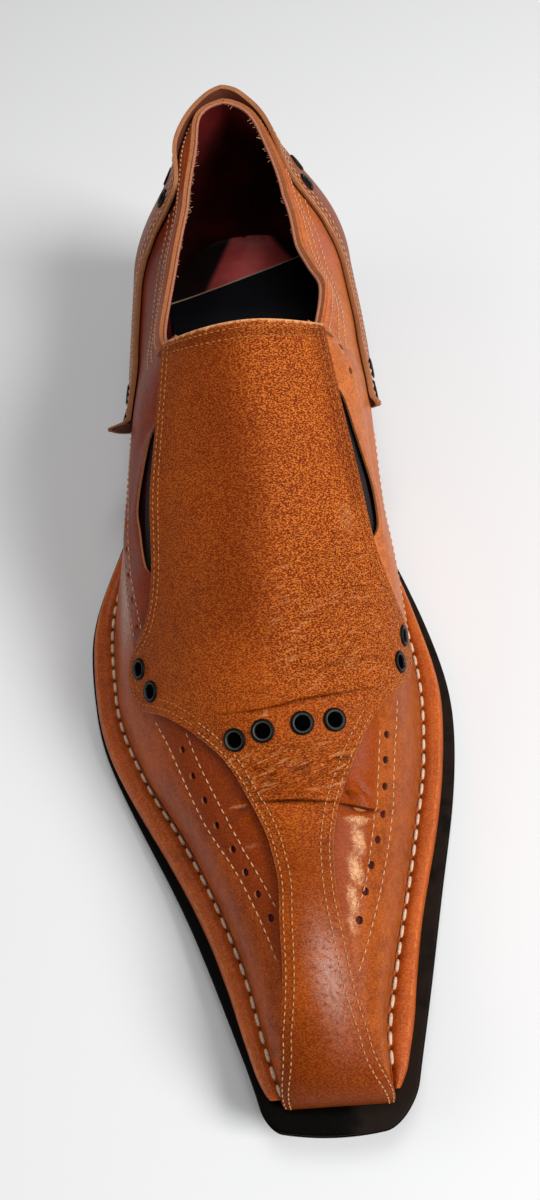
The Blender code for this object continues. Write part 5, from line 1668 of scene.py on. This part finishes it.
strip_finish = leather("strip_leather", STRIP_MAIN, STRIP_DEEP, STRIP_PALE, 0.6, 0.08,
                       {"Roughness": 0.42, "Specular IOR Level": 0.12}, STRIP_TINGE)
outer = strip_layer(STRIP_OUTER - STRIP_CROWN, STRIP_CROWN)
inner = strip_layer(STRIP_INNER, 0.0)
sheet = closed_sheet(outer.reshape(-1, 3), inner.reshape(-1, 3), net(len(outer), STRIP_ACROSS))
across = np.tile(np.linspace(0.0, 1.0, STRIP_ACROSS), len(outer))
# Painted shade in the grooves of the seams.
seams = np.max([size * hump(across, at, SEAM_REACH) for at, size in STRIP_SEAMS], axis=0)
outside = np.repeat(np.arange(len(outer)) < STRIP_ROWS, STRIP_ACROSS)
dress_sheet("collar_strip", sheet, [strip_finish, raw_edge],
            {"dark": 0.75 * seams, "tinge": outside.astype(float)})
strip_lines = []
for side in SIDES:
    q = np.arange(THROAT_CORNER + 2.0, HEEL_END - 2.0, 1.0)
    down = STRIP_ROW_AT * curve(STRIP_WIDTH, "width", q)
    strip_lines.append(np.stack([q, collar_girth(q, side) + side * down], 1))


def strip_face(points):
    """Lift of the strip's face under its row of thread."""
    q, g = points.T
    lifts = []
    for side in SIDES:
        at, reach, size = STAND_OFF[side]
        stand = STRIP_FILL * STRIP_ROW_AT * size * hump(q, at, reach)
        lifts.append(STRIP_OUTER + stand + slack(q, g, side))
    return np.where(g < 0, *lifts)


thread_row(strip_lines, strip_face, "collar_thread", pale_thread, STRIP_PITCH, STRIP_STITCH)
bead_finish = make_finish("lining_edge", cut_edge_paint(BEAD_RED), {"Roughness": 0.7})
collar_line = []
for side in SIDES:
    q = np.linspace(THROAT_CORNER - 0.5, HEEL_END, STRIP_ROWS)
    g = collar_girth(q, side) - side * BEAD_ABOVE
    collar_line.append(skin(q, g, BEAD_LIFT + slack(q, g, side)))
points, faces = bead(np.concatenate([collar_line[0], collar_line[1][-2::-1]]), BEAD_RADIUS)
dress("collar_edge", points, faces, [bead_finish], sharp=80.0)
rng = np.random.default_rng(FRAY_SEED)
fray_points = []
fray_faces = []
for side in rng.choice((LATERAL, LATERAL, MEDIAL), FRAY_COUNT):
    at = np.clip(rng.normal(*FRAY_AT[side]), THROAT_CORNER + 6.0, HEEL_END - 6.0)
    start = skin(at, collar_girth(at, side), FRAY_LIFT + slack(at, collar_girth(at, side), side))
    way = (np.array((-side * 0.7, 0.0, 0.3)) + rng.normal(0.0, 0.5, 3)) * rng.uniform(0.3, 0.9)
    curl = rng.normal(0.0, 0.35, 3)
    t = np.linspace(0.0, 1.0, FRAY_POINTS)[:, None]
    points, faces = bead(start + way * t + curl * t ** 2, FRAY_RADIUS, FRAY_TURNS)
    fray_faces += [tuple(len(fray_points) * len(points) + p for p in face) for face in faces]
    fray_points.append(points)
dress("frayed_threads", np.concatenate(fray_points), fray_faces, [pale_thread], sharp=80.0)

# Welt: a rolled strip of smooth tan leather on the rim of the sole against the upper, one on each
# side. A thick cream running stitch along its inner top edge draws the roll into small scallops.
WELT_HEIGHT = {"y": (55.0, 38.0, 10.0, -140.0, -147.0, -153.0), "height": (2.2, 2.8, 5.2, 5.5, 5.0, 3.6)}
WELT_LEDGE = {
    "y": (55.0, 35.0, 0.0, -15.0, -34.0, -52.0, -69.0, -85.0, -110.0, -124.0, -137.0, -146.0, -150.0, -153.0),
    "lateral": (1.6, 1.8, 1.6, 1.5, 1.3, 1.5, 2.3, 3.3, 3.9, 3.5, 2.6, 2.3, 2.8, 4.0),
    "medial": (0.8, 0.9, 2.4, 3.0, 3.2, 3.8, 4.0, 4.2, 5.0, 4.5, 3.7, 3.8, 4.6, 5.2),
}
WELT_REAR = {LATERAL: 55.0, MEDIAL: 38.0}
WELT_FRONT = {LATERAL: -155.0, MEDIAL: -152.0}
WELT_GAP = -0.3
WELT_ROWS = 420
WELT_STITCH_PITCH = 4.8
WELT_STITCH_LENGTH = 3.7
WELT_STITCH_RADIUS = 0.56
WELT_STITCH_RINGS = 9
WELT_STITCH_AT = 0.1
WELT_STITCH_REACH = 0.1
# Pitches from the front end to the first stitch.
WELT_STITCH_FROM = {LATERAL: 0.5, MEDIAL: 1.6}
WELT_SCALLOP = 0.25
# Share of the way from the wall to the rim, and share of the roll's height there.
WELT_ROLL = {"across": (0.0, 0.1, 0.22, 0.38, 0.55, 0.72, 0.86, 0.95, 1.0),
             "up": (0.84, 0.78, 0.88, 0.98, 1.0, 0.93, 0.74, 0.48, 0.1)}
WELT_ARC = 20
# Painted highlight, a pale line near the rim of the roll: share of the way across, reach, strength.
WELT_HIGHLIGHT = (0.8, 0.1, 0.62)
WELT_TUCK = 0.5
WELT_MAIN = dye(186, 86, 22)
WELT_DEEP = dye(144, 58, 12)
WELT_PALE = dye(238, 168, 100)
WELT_THREAD = dye(230, 196, 164)


def welt_frame(side):
    """Rows along the welt: floor, head and foot against the wall, rim, height and length so far."""
    q = np.linspace(WELT_FRONT[side], WELT_REAR[side], WELT_ROWS)
    base = skin(q, feather_girth(q, side))
    y = base[:, 1]
    floor = sole_top(y) + SEAT
    height = curve(WELT_HEIGHT, "height", y)
    rim = sole_edge(side, y) - side * curve(WELT_LEDGE, SIDE_NAMES[side], y)
    foot = skin(q, feather_girth(q, side), WELT_GAP)[:, 0]
    head = skin(q, girth_at_height(q, side, floor + height), WELT_GAP)[:, 0]
    line = np.stack([(head + rim) / 2, y, floor], 1)
    return y, floor, height, rim, foot, head, reach_along(line)


def roll_point(across, y, floor, height, rim, head):
    """Point of the roll's face: 0 at the wall, 1 at the rim's foot."""
    up = float(curve(WELT_ROLL, "up", across))
    return np.stack([head + (rim - head) * across, y, floor + height * up], -1)


welt_finish = leather("welt_leather", WELT_MAIN, WELT_DEEP, WELT_PALE, 0.6, 0.05,
                      {"Roughness": 0.34, "Specular IOR Level": 0.15})
cream_thread = make_finish("cream_thread", spun_thread(WELT_THREAD), {"Roughness": 0.7})
for side in SIDES:
    name = SIDE_NAMES[side]
    y, floor, height, rim, foot, head, reach = welt_frame(side)
    beat = 0.5 + 0.5 * np.cos(2 * math.pi * reach / WELT_STITCH_PITCH)
    columns = []
    marks = []
    pale = []
    highlight_at, highlight_reach, pale_mark = WELT_HIGHLIGHT
    for across in np.sin(np.linspace(0.0, math.pi / 2, WELT_ARC)):
        near = hump(across, WELT_STITCH_AT, WELT_STITCH_REACH)
        columns.append(roll_point(across, y, floor, height - WELT_SCALLOP * near * beat, rim, head))
        # Painted shade in the valley of the stitch line, and a pale line of painted highlight near the rim.
        marks.append(near * (0.45 + 0.55 * beat ** 4))
        pale.append(np.full(WELT_ROWS, pale_mark * hump(across, highlight_at, highlight_reach)))
    columns.append(np.stack([rim - side * WELT_TUCK, y, floor], 1))
    columns.append(np.stack([foot, y, floor], 1))
    columns.append(np.stack([(foot + head) / 2, y, floor + height / 2], 1))
    marks += [np.zeros(WELT_ROWS)] * 3
    pale += [np.zeros(WELT_ROWS)] * 3
    points = np.stack(columns, 1).reshape(-1, 3)
    dress("welt_roll_" + name, points, capped_tube(WELT_ROWS, len(columns)), [welt_finish],
          None, {"dark": np.stack(marks, 1).ravel(), "scuff_and_highlight": np.stack(pale, 1).ravel()}, ["welt_" + name])
    line = roll_point(WELT_STITCH_AT, y, floor, height, rim, head)
    stitch_points = []
    stitch_faces = []
    share = np.linspace(-1.0, 1.0, WELT_STITCH_RINGS)
    thick = WELT_STITCH_RADIUS * np.sqrt(np.maximum(1 - np.abs(share) ** 4, 0.05))
    first = WELT_STITCH_PITCH * WELT_STITCH_FROM[side]
    for at in np.arange(first, reach[-1] - WELT_STITCH_PITCH, WELT_STITCH_PITCH):
        along = at + share * WELT_STITCH_LENGTH / 2
        middle = np.stack([np.interp(along, reach, line[:, k]) for k in range(3)], 1)
        middle[:, 2] += WELT_STITCH_RADIUS * (0.55 - 1.3 * np.abs(share) ** 4)
        points, faces = bead(middle, thick[:, None, None])
        stitch_faces += [tuple(len(stitch_points) * len(points) + p for p in face) for face in faces]
        stitch_points.append(points)
    dress("welt_stitches_" + name, np.concatenate(stitch_points), stitch_faces, [cream_thread],
          sharp=80.0)

# Eyelets: small black-enamelled metal rings pressed through the leather, in a row across the
# apron, in pairs on its wings and in pairs on the tips and tabs of the counter.
RING_TURNS = 28
# Radius and height of the ring's section: the floor of the bore, painted black as the shade inside the
# hole, up over the lip and the flange, then back under the flange and down the barrel.
RING_SECTION = ((1.95, -0.5), (2.05, -0.2), (2.2, 0.34), (2.5, 0.58), (2.8, 0.62), (3.1, 0.5), (3.3, 0.25),
                (3.3, -0.1), (2.28, -0.1), (2.25, -1.45))
RING_LIP = 2.4
RING_LIP_WEAR = 0.3
# Distance from a ring's middle at which the slope of the leather is read.
RING_PROBE = 2.5
ENAMEL_BLACK = dye(5, 5, 6)
ENAMEL_WORN = dye(74, 72, 66)
# Painted shade: the bore is black and matt, standing for the dark inside of the hole.
BORE_SHADE = dye(3, 3, 3)
# Steps of the section painted dark as shade, besides the floor of the bore.
BORE_STEPS = 1


def enamel_paint(start):
    chip = start.noise(start.place(), 0.5, 3.0)
    pale_mark = (start.mark("pale_mark") * (0.4 + chip)).between(0.35, 0.8)
    return {"Base Color": pale_mark.mix(ENAMEL_BLACK, ENAMEL_WORN), "Roughness": 0.42 + 0.2 * chip,
            "Metallic": pale_mark * 0.4}


def add_ring(name, face, place, turned=1):
    """A ring square to the leather's face at a flat place; face gives solid points for flat ones.

    Turned is -1 where the flat places run round the other way, so that the ring still looks outward.
    """
    around = RING_PROBE * np.array(((0, 0), (1, 0), (-1, 0), (0, 1), (0, -1)))
    solid = face(np.array(place) + around)
    along = solid[1] - solid[2]
    normal = turned * np.cross(solid[3] - solid[4], along)
    normal /= np.linalg.norm(normal)
    along /= np.linalg.norm(along)
    across = np.cross(normal, along)
    turn = np.linspace(0.0, 2 * math.pi, RING_TURNS, endpoint=False)
    radial = np.cos(turn)[:, None] * along + np.sin(turn)[:, None] * across
    points = np.concatenate([solid[0] + r * radial + h * normal for r, h in RING_SECTION]
                            + [solid[:1] + RING_SECTION[k][1] * normal for k in (0, -1)])
    pale_mark = [hump(r, RING_LIP, RING_LIP_WEAR) * (h > 0) for r, h in RING_SECTION]
    pale_mark = np.concatenate([np.repeat(pale_mark, RING_TURNS), np.zeros(2)])
    count = len(RING_SECTION)
    after = [(k + 1) % RING_TURNS for k in range(RING_TURNS)]
    faces = [(count * RING_TURNS, k, after[k]) for k in range(RING_TURNS)]
    last = (count - 1) * RING_TURNS
    faces += [(r + k, r + RING_TURNS + k, r + RING_TURNS + after[k], r + after[k])
              for r in range(0, last, RING_TURNS) for k in range(RING_TURNS)]
    faces += [(count * RING_TURNS + 1, last + after[k], last + k) for k in range(RING_TURNS)]
    # Faces of the bore that carry the painted shade.
    dark = RING_TURNS * (1 + BORE_STEPS)
    kinds = [1] * dark + [0] * (len(faces) - dark)
    dress("ring_" + name, points, faces, [enamel, bore], kinds, {"pale_mark": pale_mark}, ["eyelet_" + name])


enamel = make_finish("black_enamel", enamel_paint, {"Specular IOR Level": 0.12})
bore = make_finish("eyelet_bore_shade", cut_edge_paint(BORE_SHADE), {"Roughness": 1.0, "Specular IOR Level": 0.0})
for name, place in APRON_RINGS.items():
    add_ring(name, apron_solid, place)
for name, (side, q, z) in COUNTER_RINGS.items():
    def tab_face(p, side=side):
        lift = counter_lift(p[:, 0], p[:, 1], side) + COUNTER_THICKNESS
        return skin(p[:, 0], girth_at_height(p[:, 0], side, p[:, 1]), lift)

    add_ring(name, tab_face, (q, z), -side)

# Studio: a pale floor that runs out of sight, a broad soft light above the inner side of the toe,
# a weaker one on the outer side, and the camera where the photographer held it over the toe.
FLOOR_SIZE = 6000.0
FLOOR_PALE = (0.82, 0.82, 0.82, 1.0)
CAMERA_PLACE = (24.8, -160.7, 309.1)
# Degrees: down from level, to the right of the shoe's own line, then back to the left to centre it.
CAMERA_DOWN = 62.15
CAMERA_RIGHT = 6.38
CAMERA_BACK = 6.6
CAMERA_LENS = 30.0
# Name, place, aim, size and power in watts of each light.
LIGHTS = (
    ("key", (900.0, -420.0, 900.0), (0.0, -20.0, 40.0), 520.0, 17.5),
    ("fill", (-990.0, -100.0, 700.0), (0.0, 0.0, 40.0), 830.0, 2.6),
    ("top", (60.0, 100.0, 760.0), (5.0, 120.0, 40.0), 260.0, 1.4),
)
WORLD_PALE = (0.95, 0.97, 1.0, 1.0)
WORLD_STRENGTH = 0.17


def aim(thing, place, at):
    thing.location = Vector(place) * MM
    thing.rotation_euler = (Vector(at) - Vector(place)).to_track_quat("-Z", "Y").to_euler()


half = FLOOR_SIZE / 2 * MM
floor_mesh = bpy.data.meshes.new("floor")
floor_corners = [(-half, -half, 0.0), (half, -half, 0.0), (half, half, 0.0), (-half, half, 0.0)]
floor_mesh.from_pydata(floor_corners, [], [(0, 1, 2, 3)])
floor_finish = make_finish("floor_paper", lambda start: {}, {"Base Color": FLOOR_PALE, "Roughness": 0.9})
floor_mesh.materials.append(floor_finish)
floor = bpy.data.objects.new("floor", floor_mesh)
bpy.context.scene.collection.objects.link(floor)
for name, place, at, size, power in LIGHTS:
    lamp = bpy.data.lights.new(name, "AREA")
    lamp.size = size * MM
    lamp.energy = power
    light = bpy.data.objects.new(name, lamp)
    bpy.context.scene.collection.objects.link(light)
    aim(light, place, at)
world = bpy.data.worlds.new("studio")
world.use_nodes = True
world.node_tree.nodes["Background"].inputs["Color"].default_value = WORLD_PALE
world.node_tree.nodes["Background"].inputs["Strength"].default_value = WORLD_STRENGTH
bpy.context.scene.world = world
bpy.context.scene.view_settings.view_transform = "Standard"
lens = bpy.data.cameras.new("camera")
lens.lens = CAMERA_LENS
lens.clip_start = 0.01
camera = bpy.data.objects.new("camera", lens)
bpy.context.scene.collection.objects.link(camera)
camera.location = Vector(CAMERA_PLACE) * MM
held = Euler((math.radians(90 - CAMERA_DOWN), 0.0, math.radians(-CAMERA_RIGHT)))
turned = held.to_matrix() @ Matrix.Rotation(math.radians(CAMERA_BACK), 3, "Y")
camera.rotation_euler = turned.to_euler()
bpy.context.scene.camera = camera
